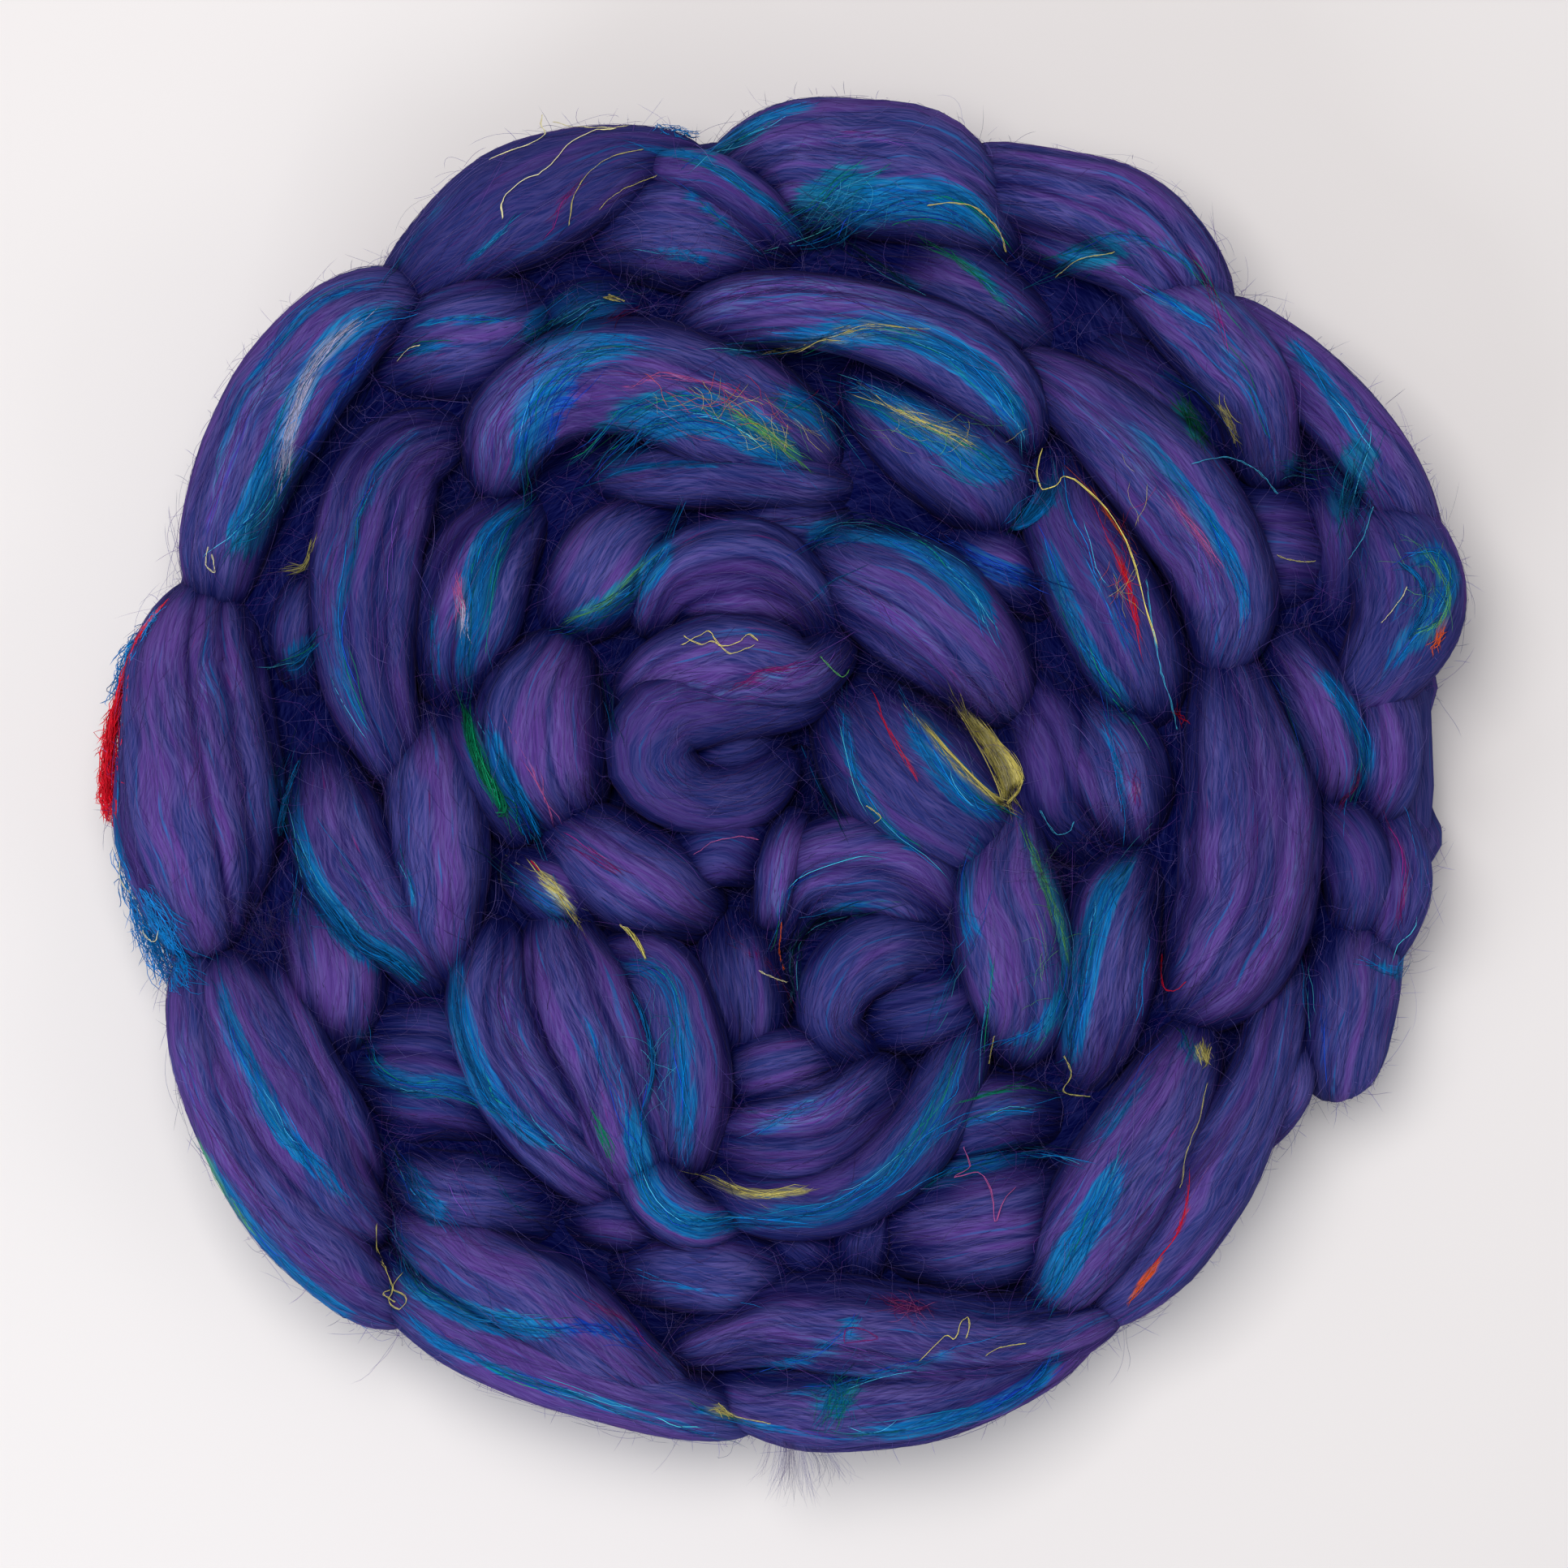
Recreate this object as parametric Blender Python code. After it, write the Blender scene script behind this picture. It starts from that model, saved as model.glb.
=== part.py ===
"""Wool roving: one long length of combed top, chain-plaited and wound in a flat spiral.

The plait is one unbroken strand, so it is one solid. Each stretch of the strand that shows
between two crossings is a plump lobe, swept through a short row of sections. The backs of the
plait's links and the strand at its heart lie under the lobes. All of them are fused, and the
underside is cut flat where the coil rests. Lengths are in metres, +Z is up, and the origin is
under the middle of the coil, on the surface that it rests on.
"""
import math

import bmesh
import bpy

# Plan: sections are set out on squares, counted from the left (across) and from the far side (down).
SQUARE = 0.0021
PLAN_MIDDLE_ACROSS = 97.0
PLAN_MIDDLE_DOWN = 95.4

# The strand's section and how a lobe lies
THICKNESS_SHARE = 0.82        # a lobe's thickness, as a share of its width
END_DIVE = 0.013              # how far a lobe's ends sink below its middle
END_WIDTH_SHARE = 0.28        # width left at the very tip of a lobe
END_ROUNDING = 0.13           # share of a lobe's length over which its end rounds off
SECTION_SIDES = 16
SECTIONS_ALONG = 15

# The coil's underside: the plait's back, along a spiral that starts at the free end
SPIRAL_START = math.radians(-22.0)
SPIRAL_TURNS = 2.5
SPIRAL_RADII = (              # turns from the free end, radius in squares
    (0.00, 64.0),
    (0.30, 63.0),
    (0.60, 63.0),
    (0.85, 60.0),
    (1.05, 49.0),
    (1.30, 36.0),
    (1.65, 31.0),
    (1.95, 24.0),
    (2.20, 13.0),
    (2.50, 3.0),
)
HEART_WIDTH = 34.0            # squares, the strand through the links' middles
HEART_THICKNESS_SHARE = 0.36
HEART_CREST = 0.031
HEART_SECTIONS = 90
HEART_END_SHARE = 0.5         # width of the strand's two ends, as a share of its width
LINK_PITCH = 15.0             # squares along the spiral from one link's back to the next
LINK_LEAN = 17.0              # squares that a link's back runs along the spiral
LINK_INNER = 2.0              # squares from the spiral's middle line to a link's inner end
LINK_OUTER = 14.0             # squares from the spiral's middle line to a link's outer end
LINK_WIDTH = 16.5             # squares
LINK_CREST = 0.0268
LINK_DIVE = -0.004            # a link's back lies lowest at its middle
LINK_END_SHARE = 0.75         # width of a link's back at its ends, as a share of its width
SPIRAL_STEP = 0.002           # turns, for measuring along the spiral
LAST_LINK = SPIRAL_TURNS - 0.06

# Fusing
FUSE_CELL = 0.0022            # grid on which the lobes are fused
SMOOTHING = 0.5
SMOOTHING_ROUNDS = 2
TRIANGLES = 9900
CUTTER_SIDE = 0.6
CUTTER_DEPTH = 0.05

VIOLET = (0.052, 0.040, 0.150, 1.0)
WOOL_ROUGHNESS = 0.9

# Each lobe: name, height of its crest in mm, sections as (across, down, width) in squares.
OUTER_TURN = (
    ("tail_tip", 40, ((168.5, 112, 11), (167, 120, 12.5), (165.7, 127, 12.3), (165, 131.8, 10), (164.8, 134.8, 4))),
    ("tail_inner", 42, ((162, 98, 6), (165.5, 103, 9), (167.5, 109, 9), (167, 115, 6))),
    ("tail_outer", 38, ((169.5, 96, 6), (172.7, 105, 7), (172.5, 112, 7), (170, 119, 5))),
    ("rise_a_inner", 44, ((157, 78, 8), (162, 86, 10), (164.5, 94, 9), (164, 100, 6))),
    ("rise_a_outer", 42, ((164, 77, 8), (170, 87, 9), (171, 96, 8), (168.5, 102, 5))),
    ("rise_b_loop", 48, ((168, 61, 8), (172.5, 68, 13), (173, 76, 13), (169, 84, 10), (165, 88, 6))),
    ("rise_b_outer", 46, ((150, 38, 8), (160, 46, 9), (167.3, 53.5, 9), (172.7, 61.5, 8), (176, 69, 6))),
    ("rise_b_bed", 38, ((162, 55, 8), (165.5, 63, 11), (166, 73, 10), (162.5, 80, 6))),
    ("rise_cross", 40, ((147, 67, 12), (156, 67.5, 17), (164, 68.5, 12))),
    ("rise_c_outer", 50, ((139, 34, 7), (147, 40, 11), (154, 49, 11), (157, 59, 8))),
    ("rise_c_inner", 42, ((132, 42, 8), (140, 47.5, 12), (147, 54, 11), (151, 60, 7))),
    ("top_a_outer", 50, ((117, 21.5, 8), (129, 23.8, 10.5), (139, 27.5, 11.5), (145.8, 34, 10), (150, 42, 7))),
    ("top_a_inner", 45, ((125, 27, 7), (132, 30, 8), (140, 32.5, 9), (147, 38, 9), (151, 44, 6))),
    ("top_b_under", 43, ((106, 31, 8), (114, 34, 11), (122, 38, 12), (129, 43, 8))),
    ("top_b_over", 52, ((87, 24, 8), (96, 20, 15), (105, 20.5, 17.5), (114, 22.5, 17), (121, 27, 11), (125, 31, 6))),
    ("top_c_under", 47, ((72, 30, 7), (79, 28.5, 13), (86, 28.5, 16), (93, 30, 12), (98, 31.5, 7))),
    ("top_c_over", 50, ((47.5, 38, 9), (57.5, 29.5, 13), (65.5, 25, 15), (73.5, 21.5, 12), (81, 19.5, 8), (87, 21, 6))),
    ("top_c_edge", 50, ((80, 21, 5), (87, 22, 6), (93, 25.5, 6), (98, 30, 5))),
    ("top_d_under", 45, ((47.5, 45, 10), (55, 42.5, 14), (62, 40.5, 14), (67, 38.5, 9))),
    ("top_d_peep", 39, ((65, 42.5, 6), (70, 39.5, 9), (76, 38, 8), (81, 39, 5))),
    ("fall_a_over", 51, ((26, 75, 9), (28.7, 62, 12), (33.9, 51.5, 13), (40, 43, 13), (46.5, 37.7, 10), (52, 37.5, 6))),
    ("fall_b_over", 52, ((25.5, 72, 10), (24.3, 81, 17), (24.2, 92, 20), (24.2, 103, 20), (24, 112, 14), (24.5, 118, 7))),
    ("fall_b_peep", 40, ((38.5, 70, 5), (36.5, 78, 7), (37.5, 86, 5))),
    ("fall_c_under", 43, ((37.5, 108, 8), (41, 117, 12), (42, 124, 11), (41.5, 131, 5))),
    ("fall_d_outer", 48, ((23.5, 117, 7), (25.8, 130, 9.5), (30.2, 140.5, 10.5), (36.8, 150.3, 10.5), (43.5, 157.7, 9), (50, 162.5, 6))),
    ("fall_d_middle", 51, ((27, 118, 7), (31.5, 128, 11), (37, 138, 12), (42, 147, 10), (46.5, 153, 6))),
    ("fall_d_inner", 46, ((33, 119, 6), (37, 129, 8), (42, 139, 8), (45.5, 147, 5))),
    ("base_a_under", 44, ((44.5, 131, 13), (50, 131, 18.5), (56, 132.5, 19), (62, 137, 11), (66, 141, 5))),
    ("base_b_under", 42, ((47, 143, 6), (54, 146.5, 10), (61, 148, 11), (69, 150.5, 8))),
    ("base_b_upper", 50, ((48.5, 150, 7), (58, 155.5, 11), (68, 161, 12.5), (77, 168, 10), (85, 174, 6))),
    ("base_b_outer", 46, ((45.5, 155, 7), (53, 161.3, 9), (62, 165.7, 10), (72, 169.8, 10), (82, 173.2, 8.5), (93, 175.5, 6))),
    ("base_c_under", 43, ((75, 157, 7), (83, 156, 11), (91, 156.5, 11), (99, 158.5, 7))),
    ("base_c_upper", 50, ((82, 167, 6), (95, 163, 10.5), (106, 163.5, 12.5), (117, 165, 12), (127, 164.5, 10.5), (138, 161.5, 7))),
    ("base_c_outer", 46, ((88, 171.5, 7), (99, 173.5, 11), (110, 172.5, 11), (120, 170.5, 10), (129, 166.5, 8), (136, 162, 5))),
    ("base_d_outer", 48, ((158.5, 117, 7), (157, 128, 8), (153.3, 137, 9.5), (148.3, 145.5, 11.5), (142, 154.3, 11.5), (134, 162.5, 8))),
    ("base_d_inner", 51, ((148, 126, 7), (145, 133, 12), (140.5, 141, 14), (135, 150, 14), (130.5, 158, 10), (127.5, 163, 5))),
    ("base_d_side", 40, ((160, 127, 5), (158.5, 134, 7), (154.5, 141, 5))),
    ("base_c_bun", 47, ((109.5, 152, 12), (116, 150.5, 18), (124, 149.5, 18), (130.5, 148, 11))),
    ("base_c_brow", 44, ((108.5, 144, 7), (115, 139.5, 9), (122, 137.5, 10), (130.5, 138, 8))),
)
INNER_TURN = (
    ("side_a_over", 53, ((150.5, 79, 7), (152.5, 89, 13), (154, 100, 16.5), (153.5, 110, 17), (150.5, 119, 15), (145.5, 126, 8))),
    ("side_a_inner", 44, ((133, 86, 7), (137, 92, 12), (139, 98, 11), (140, 104, 6))),
    ("side_a_bed", 40, ((124, 81, 9), (129, 90, 13), (131, 99, 12), (137, 106, 8))),
    ("side_b_long", 54, ((124.5, 44, 6), (133, 49.5, 10), (141, 57, 13), (148, 66, 14), (151.5, 75, 12), (150, 83, 7))),
    ("side_b_inner", 49, ((129.5, 54, 6), (131, 63, 11), (135.5, 72, 14), (139.5, 81, 13), (142.5, 89, 8))),
    ("crown_a_over", 54, ((83.5, 41, 6), (90, 38.7, 9), (100, 38.5, 9), (110, 41, 10), (119, 45, 11), (125.5, 51, 8), (127, 56, 4))),
    ("crown_a_under", 47, ((104.5, 46, 7), (111, 51, 12), (117, 56, 14), (122, 61, 12), (124, 66, 6))),
    ("crown_b_over", 54, ((60.5, 61, 8), (63, 52.5, 12), (70, 47.5, 14), (79, 47, 15), (88, 49.5, 15.5), (96, 53, 13), (102.5, 57.5, 8))),
    ("crown_b_under", 46, ((73, 59, 5), (81, 58.5, 8), (90, 58.5, 9), (98, 59.5, 8), (105, 60, 5))),
    ("crown_b_bed", 41, ((84.5, 63, 6), (92, 64.5, 9), (99, 65, 9), (106, 63, 6))),
    ("left_a_over", 53, ((57, 53, 7), (49.5, 56.5, 12), (46, 65, 14), (45, 75, 13.5), (46, 85, 11), (48.7, 93, 8), (50.5, 98, 4))),
    ("left_a_inner", 47, ((65.5, 61.5, 7), (60, 68, 13), (57.3, 76, 14), (56, 83, 10), (57, 89, 5))),
    ("left_a_bed", 43, ((84, 62.5, 8), (77.5, 67.5, 13), (72, 73.5, 12), (67.5, 79, 6))),
    ("left_b_outer", 48, ((39.5, 92, 7), (41.5, 101, 12.5), (45.5, 110, 13), (50.5, 117, 9), (54.5, 123, 5))),
    ("left_b_inner", 50, ((52, 87, 6), (53.8, 96, 12), (54, 105, 13), (54.3, 113, 10), (56, 122, 5))),
    ("left_c_outer", 52, ((61.5, 114, 8), (60.8, 124, 12), (64.5, 133, 13), (70.5, 141, 11), (78, 147.5, 7))),
    ("left_c_middle", 54, ((68, 112.5, 8), (71, 122, 14), (75, 131, 14.5), (78, 140, 12), (81, 148, 7))),
    ("left_c_arm", 53, ((74, 118, 6), (81, 119.5, 9), (84.3, 128, 10), (84.8, 137, 9.5), (84, 145, 7))),
    ("left_c_hook", 49, ((78, 139, 6), (80.5, 146.5, 8), (86, 150.5, 7), (93, 149.5, 4))),
    ("foot_a_outer", 51, ((85, 144.5, 6), (94, 148, 8), (104, 147, 9), (112, 141, 9), (117, 133, 8.5), (120.5, 125, 6))),
    ("foot_a_middle", 50, ((86.5, 140, 8), (95, 139.5, 12), (103, 138, 12.5), (110.5, 132.5, 9))),
    ("foot_a_inner", 46, ((86.5, 135, 6), (93, 132, 9.5), (99, 130.5, 8), (105, 130, 5))),
    ("foot_b_chip", 40, ((69.5, 150.5, 5), (76, 150, 8), (84, 151.5, 6))),
    ("foot_b_wedge", 40, ((93, 150, 5), (99, 153.5, 7.5), (104.5, 158, 5))),
    ("foot_b_stalk", 41, ((106.5, 144, 6), (106.5, 151, 8), (105, 159, 5))),
    ("side_c_over", 51, ((124.5, 98, 7), (123, 107, 13), (124.8, 116, 15), (126, 124, 13), (124.5, 131, 6))),
    ("side_c_inner", 46, ((142, 104, 6), (137.5, 112, 12), (136, 121, 13), (134.8, 129, 10), (132.5, 135, 5))),
)
MIDDLE = (
    ("curl_arch", 53, ((80, 77.5, 7), (84, 72, 11), (91.5, 70.5, 13), (98.5, 74, 10), (102, 80, 5))),
    ("curl_brow", 55, ((77.5, 87, 7), (83, 83, 10), (91, 81.5, 11), (99, 83, 9), (104.5, 79, 5))),
    ("curl_lip", 54, ((103.5, 83.5, 6), (97, 85.5, 9), (89, 86.5, 10), (82, 88.5, 10.5),
                      (80.5, 94, 10.5), (85, 98.2, 9.5), (92, 97.8, 9), (97.5, 93, 6))),
    ("curl_chin", 44, ((83, 92, 7), (89, 92.5, 9), (96, 90.5, 7))),
    ("heart_a_over", 53, ((100, 68, 7), (106, 71, 13), (113.5, 75, 16), (120, 81, 14), (125, 88, 8))),
    ("heart_a_under", 42, ((116.5, 66.5, 6), (123, 70, 9), (129.5, 75, 6))),
    ("heart_b_bun", 52, ((103.5, 85, 10), (108, 91.5, 17), (113.5, 98, 19.5), (118.5, 103, 15), (122, 107, 7))),
    ("heart_c_arch", 49, ((95, 117.5, 6), (98.5, 109, 10), (106, 106.5, 13), (114, 109, 12), (120, 115, 7))),
    ("heart_c_strip", 47, ((98, 100.5, 5), (95.8, 107, 5), (95, 114, 4))),
    ("heart_d_hook", 50, ((118, 117, 8), (110, 116.3, 10), (104, 120, 9), (102.5, 126, 8), (107, 131, 6))),
    ("heart_d_palm", 44, ((105, 126, 8), (111, 124, 12), (117, 122.5, 11), (121, 119, 6))),
    ("heart_e_button", 45, ((83.5, 105, 8), (89, 103.5, 11), (94.5, 106, 8))),
    ("heart_e_bun", 48, ((68.5, 101, 8), (74, 105, 13), (81, 109.5, 14), (87.5, 113, 8))),
    ("heart_e_chip", 42, ((62.5, 106.5, 6), (68, 109.5, 9), (74, 114, 7))),
    ("heart_f_bun", 51, ((69.5, 79, 8), (67, 86.5, 16), (67.5, 94, 17), (71, 100, 10))),
    ("heart_f_strip", 46, ((57, 87.5, 6), (60, 95, 8), (64.5, 103, 6))),
    ("heart_g_bun", 44, ((90, 113, 7), (91, 120, 11.5), (91.5, 127, 11.5), (89.5, 132, 6))),
)


def clear_objects():
    """Remove every object, so that the model starts from nothing."""
    for old in list(bpy.data.objects):
        bpy.data.objects.remove(old, do_unlink=True)


def wool():
    """The roving's material."""
    material = bpy.data.materials.new("violet_wool")
    material.use_nodes = True
    shader = material.node_tree.nodes["Principled BSDF"]
    shader.inputs["Base Color"].default_value = VIOLET
    shader.inputs["Roughness"].default_value = WOOL_ROUGHNESS
    shader.inputs["Metallic"].default_value = 0.0
    return material


def blend(rows, share):
    """The row of values at a share (0 to 1) of the way along, on a smooth curve through the rows."""
    place = share * (len(rows) - 1)
    first = min(int(place), len(rows) - 2)
    step = place - first
    before = rows[max(first - 1, 0)]
    start = rows[first]
    end = rows[first + 1]
    after = rows[min(first + 2, len(rows) - 1)]
    values = []
    for a, b, c, d in zip(before, start, end, after):
        bend = 2 * a - 5 * b + 4 * c - d
        turn = 3 * b - a - 3 * c + d
        values.append(0.5 * (2 * b + (c - a) * step + bend * step ** 2 + turn * step ** 3))
    return values


def end_share(share):
    """How full a lobe is at a share of its length: round at both ends, full between them."""
    inward = min(share, 1.0 - share) / END_ROUNDING
    if inward >= 1.0:
        return 1.0
    return END_WIDTH_SHARE + (1.0 - END_WIDTH_SHARE) * math.sqrt(1.0 - (1.0 - inward) ** 2)


def plan_place(across, down):
    """Metres from the coil's middle, for a place on the plan's squares."""
    return (across - PLAN_MIDDLE_ACROSS) * SQUARE, (PLAN_MIDDLE_DOWN - down) * SQUARE


def lobe_points(crest, sections, dive=END_DIVE):
    """Points (x, y, z, half width) along a lobe: its ends lie lower than its crest, by the dive."""
    fullest = max(width for _, _, width in sections) * SQUARE
    points = []
    for number in range(SECTIONS_ALONG):
        share = 0.5 - 0.5 * math.cos(math.pi * number / (SECTIONS_ALONG - 1))
        across, down, width = blend(sections, share)
        x, y = plan_place(across, down)
        z = crest - 0.5 * THICKNESS_SHARE * fullest - dive * (2.0 * share - 1.0) ** 2
        points.append((x, y, z, 0.5 * width * SQUARE * end_share(share)))
    return points


def oval(name, height_share):
    """A closed oval, one unit in half width, that strands are swept with."""
    curve = bpy.data.curves.new(name, "CURVE")
    curve.dimensions = "2D"
    spline = curve.splines.new("POLY")
    spline.points.add(SECTION_SIDES - 1)
    for number, point in enumerate(spline.points):
        angle = 2.0 * math.pi * number / SECTION_SIDES
        point.co = (math.cos(angle), height_share * math.sin(angle), 0.0, 1.0)
    spline.use_cyclic_u = True
    profile = bpy.data.objects.new(name, curve)
    profile.hide_render = True
    bpy.context.scene.collection.objects.link(profile)
    return profile


def swept(name, points, profile):
    """A strand: the oval swept along the points, its long side level, its ends closed."""
    curve = bpy.data.curves.new(name, "CURVE")
    curve.dimensions = "3D"
    curve.twist_mode = "Z_UP"
    curve.bevel_mode = "OBJECT"
    curve.bevel_object = profile
    curve.use_fill_caps = True
    spline = curve.splines.new("POLY")
    spline.points.add(len(points) - 1)
    for point, (x, y, z, half_width) in zip(spline.points, points):
        point.co = (x, y, z, 1.0)
        point.radius = half_width
    strand = bpy.data.objects.new(name, curve)
    bpy.context.scene.collection.objects.link(strand)
    return strand


def spiral_place(turns):
    """Centre of the plait, in squares from the coil's middle, at a number of turns from its end."""
    radius = SPIRAL_RADII[-1][1]
    for (from_turn, from_radius), (to_turn, to_radius) in zip(SPIRAL_RADII, SPIRAL_RADII[1:]):
        if turns <= to_turn:
            share = (turns - from_turn) / (to_turn - from_turn)
            radius = from_radius + (to_radius - from_radius) * share
            break
    angle = SPIRAL_START + 2.0 * math.pi * turns
    return radius * math.cos(angle), radius * math.sin(angle)


def heart_points():
    """The strand that runs through the middles of the links, all along the spiral."""
    points = []
    for number in range(HEART_SECTIONS):
        share = number / (HEART_SECTIONS - 1)
        across, away = spiral_place(SPIRAL_TURNS * share)
        z = HEART_CREST - 0.5 * HEART_THICKNESS_SHARE * HEART_WIDTH * SQUARE
        half_width = 0.5 * HEART_WIDTH * SQUARE
        if number in (0, HEART_SECTIONS - 1):
            half_width *= HEART_END_SHARE
        points.append((across * SQUARE, away * SQUARE, z, half_width))
    return points


def link_backs():
    """Sections of the links' backs: two lobes at each pitch, meeting in a V on the middle line."""
    backs = []
    travelled = 0.0
    turns = 0.0
    here = spiral_place(0.0)
    while turns < LAST_LINK:
        turns += SPIRAL_STEP
        there = spiral_place(turns)
        travelled += math.dist(here, there)
        along_x = (there[0] - here[0]) / math.dist(here, there)
        along_y = (there[1] - here[1]) / math.dist(here, there)
        here = there
        if travelled < LINK_PITCH:
            continue
        travelled = 0.0
        for side in (-1.0, 1.0):
            sections = []
            for share in (0.0, 0.5, 1.0):
                forward = LINK_LEAN * (share - 0.5)
                aside = side * (LINK_INNER + (LINK_OUTER - LINK_INNER) * share)
                across = here[0] + along_x * forward - along_y * aside
                away = here[1] + along_y * forward + along_x * aside
                width = LINK_WIDTH * (1.0 if share == 0.5 else LINK_END_SHARE)
                sections.append((PLAN_MIDDLE_ACROSS + across, PLAN_MIDDLE_DOWN - away, width))
            backs.append(sections)
    return backs


def evaluated(thing):
    """A new mesh of the object as its modifiers leave it, placed in the world."""
    graph = bpy.context.evaluated_depsgraph_get()
    mesh = bpy.data.meshes.new_from_object(thing.evaluated_get(graph), depsgraph=graph)
    mesh.transform(thing.matrix_world)
    return mesh


def all_strands():
    """Every lobe, link back and the heart strand, as swept curves."""
    plump = oval("lobe_profile", THICKNESS_SHARE)
    broad = oval("heart_profile", HEART_THICKNESS_SHARE)
    strands = []
    for name, crest_mm, sections in OUTER_TURN + INNER_TURN + MIDDLE:
        strands.append(swept(name, lobe_points(crest_mm * 0.001, sections), plump))
    for number, sections in enumerate(link_backs()):
        strands.append(swept(f"link_back_{number}", lobe_points(LINK_CREST, sections, LINK_DIVE), plump))
    strands.append(swept("heart_strand", heart_points(), broad))
    return strands, (plump, broad)


def fused(strands):
    """One mesh object of all the strands, with their inner faces and closed hollows gone."""
    gathered = bmesh.new()
    for strand in strands:
        gathered.from_mesh(evaluated(strand))
    mesh = bpy.data.meshes.new("roving_mesh")
    gathered.to_mesh(mesh)
    gathered.free()
    roving = bpy.data.objects.new("roving", mesh)
    bpy.context.scene.collection.objects.link(roving)
    remesh = roving.modifiers.new("fuse", "REMESH")
    remesh.mode = "VOXEL"
    remesh.voxel_size = FUSE_CELL
    remesh.use_smooth_shade = True
    smooth = roving.modifiers.new("soften", "SMOOTH")
    smooth.factor = SMOOTHING
    smooth.iterations = SMOOTHING_ROUNDS
    skin = evaluated(roving)
    roving.modifiers.clear()
    roving.data = skin
    keep_outer_skin(roving)
    return roving


def keep_outer_skin(roving):
    """Delete every shell of the mesh but the one with the most faces."""
    work = bmesh.new()
    work.from_mesh(roving.data)
    unseen = set(work.faces)
    shells = []
    while unseen:
        shell = set()
        frontier = [unseen.pop()]
        while frontier:
            face = frontier.pop()
            shell.add(face)
            for edge in face.edges:
                for neighbour in edge.link_faces:
                    if neighbour in unseen:
                        unseen.remove(neighbour)
                        frontier.append(neighbour)
        shells.append(shell)
    shells.sort(key=len)
    for shell in shells[:-1]:
        bmesh.ops.delete(work, geom=list(shell), context="FACES")
    bmesh.ops.delete(work, geom=[v for v in work.verts if not v.link_faces], context="VERTS")
    work.to_mesh(roving.data)
    work.free()


def thinned(roving):
    """Fewer, larger triangles where the skin is smooth."""
    roving.data.calc_loop_triangles()
    decimate = roving.modifiers.new("thin", "DECIMATE")
    decimate.ratio = TRIANGLES / len(roving.data.loop_triangles)
    decimate.use_collapse_triangulate = True


def flat_underside(roving):
    """Cut the coil level where it rests on the surface."""
    cutter_mesh = bpy.data.meshes.new("surface_cutter")
    box = bmesh.new()
    bmesh.ops.create_cube(box, size=1.0)
    bmesh.ops.scale(box, vec=(CUTTER_SIDE, CUTTER_SIDE, CUTTER_DEPTH), verts=box.verts)
    bmesh.ops.translate(box, vec=(0.0, 0.0, -0.5 * CUTTER_DEPTH), verts=box.verts)
    box.to_mesh(cutter_mesh)
    box.free()
    cutter = bpy.data.objects.new("surface_cutter", cutter_mesh)
    cutter.hide_render = True
    cutter.display_type = "WIRE"
    bpy.context.scene.collection.objects.link(cutter)
    cut = roving.modifiers.new("level", "BOOLEAN")
    cut.operation = "DIFFERENCE"
    cut.solver = "EXACT"
    cut.object = cutter


def main():
    clear_objects()
    strands, profiles = all_strands()
    bpy.context.view_layer.update()
    roving = fused(strands)
    for guide in (*strands, *profiles):
        bpy.data.objects.remove(guide, do_unlink=True)
    thinned(roving)
    flat_underside(roving)
    roving.data.materials.clear()
    roving.data.materials.append(wool())


main()
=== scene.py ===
"""Looks of a wool roving: violet combed top with silk, chain-plaited and wound in a flat spiral."""
import math

import bmesh
import bpy
import numpy as np
from bpy.props import FloatProperty, FloatVectorProperty, IntProperty, PointerProperty
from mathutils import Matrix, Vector, noise
from mathutils.bvhtree import BVHTree


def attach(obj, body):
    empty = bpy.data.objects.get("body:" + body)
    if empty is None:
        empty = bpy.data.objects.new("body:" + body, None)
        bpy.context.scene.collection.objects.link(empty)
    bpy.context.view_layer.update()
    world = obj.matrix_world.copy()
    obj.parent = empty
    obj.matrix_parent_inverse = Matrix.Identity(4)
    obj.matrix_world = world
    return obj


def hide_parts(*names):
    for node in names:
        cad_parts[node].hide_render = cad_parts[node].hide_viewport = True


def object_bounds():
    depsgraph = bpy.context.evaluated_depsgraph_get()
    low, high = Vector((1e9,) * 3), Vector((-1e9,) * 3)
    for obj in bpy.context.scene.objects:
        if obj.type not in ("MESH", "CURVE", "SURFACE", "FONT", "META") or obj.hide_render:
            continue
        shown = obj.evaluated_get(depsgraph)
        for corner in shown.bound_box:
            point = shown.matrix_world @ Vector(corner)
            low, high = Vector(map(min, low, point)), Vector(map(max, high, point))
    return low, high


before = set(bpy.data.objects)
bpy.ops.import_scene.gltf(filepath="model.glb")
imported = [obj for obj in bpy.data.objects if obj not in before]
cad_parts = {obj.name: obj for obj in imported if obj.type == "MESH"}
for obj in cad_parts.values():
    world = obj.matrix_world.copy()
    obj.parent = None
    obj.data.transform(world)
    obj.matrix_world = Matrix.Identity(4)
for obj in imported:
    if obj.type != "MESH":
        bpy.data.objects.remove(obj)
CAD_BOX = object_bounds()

bl_info = {
    "name": "Wool roving",
    "version": (1, 0, 0),
    "blender": (4, 5, 0),
    "location": "3D View > Sidebar > Roving",
    "description": "Builds a chain-plaited, coiled length of combed top over its solid",
    "category": "Add Mesh",
}

NODE = "roving"

# Plan: places are set out on squares, counted from the left (across) and from the far side (down).
MM = 0.001
SQUARE = 0.0021
PLAN_MIDDLE_ACROSS = 97.0
PLAN_MIDDLE_DOWN = 95.4

# Where the picture's middle lies on the plan, the camera's sensor in mm, and the height that is true to scale
PICTURE_MIDDLE = 96.6
SENSOR_WIDTH = 36.0
SCALED_AT = 0.035

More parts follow.
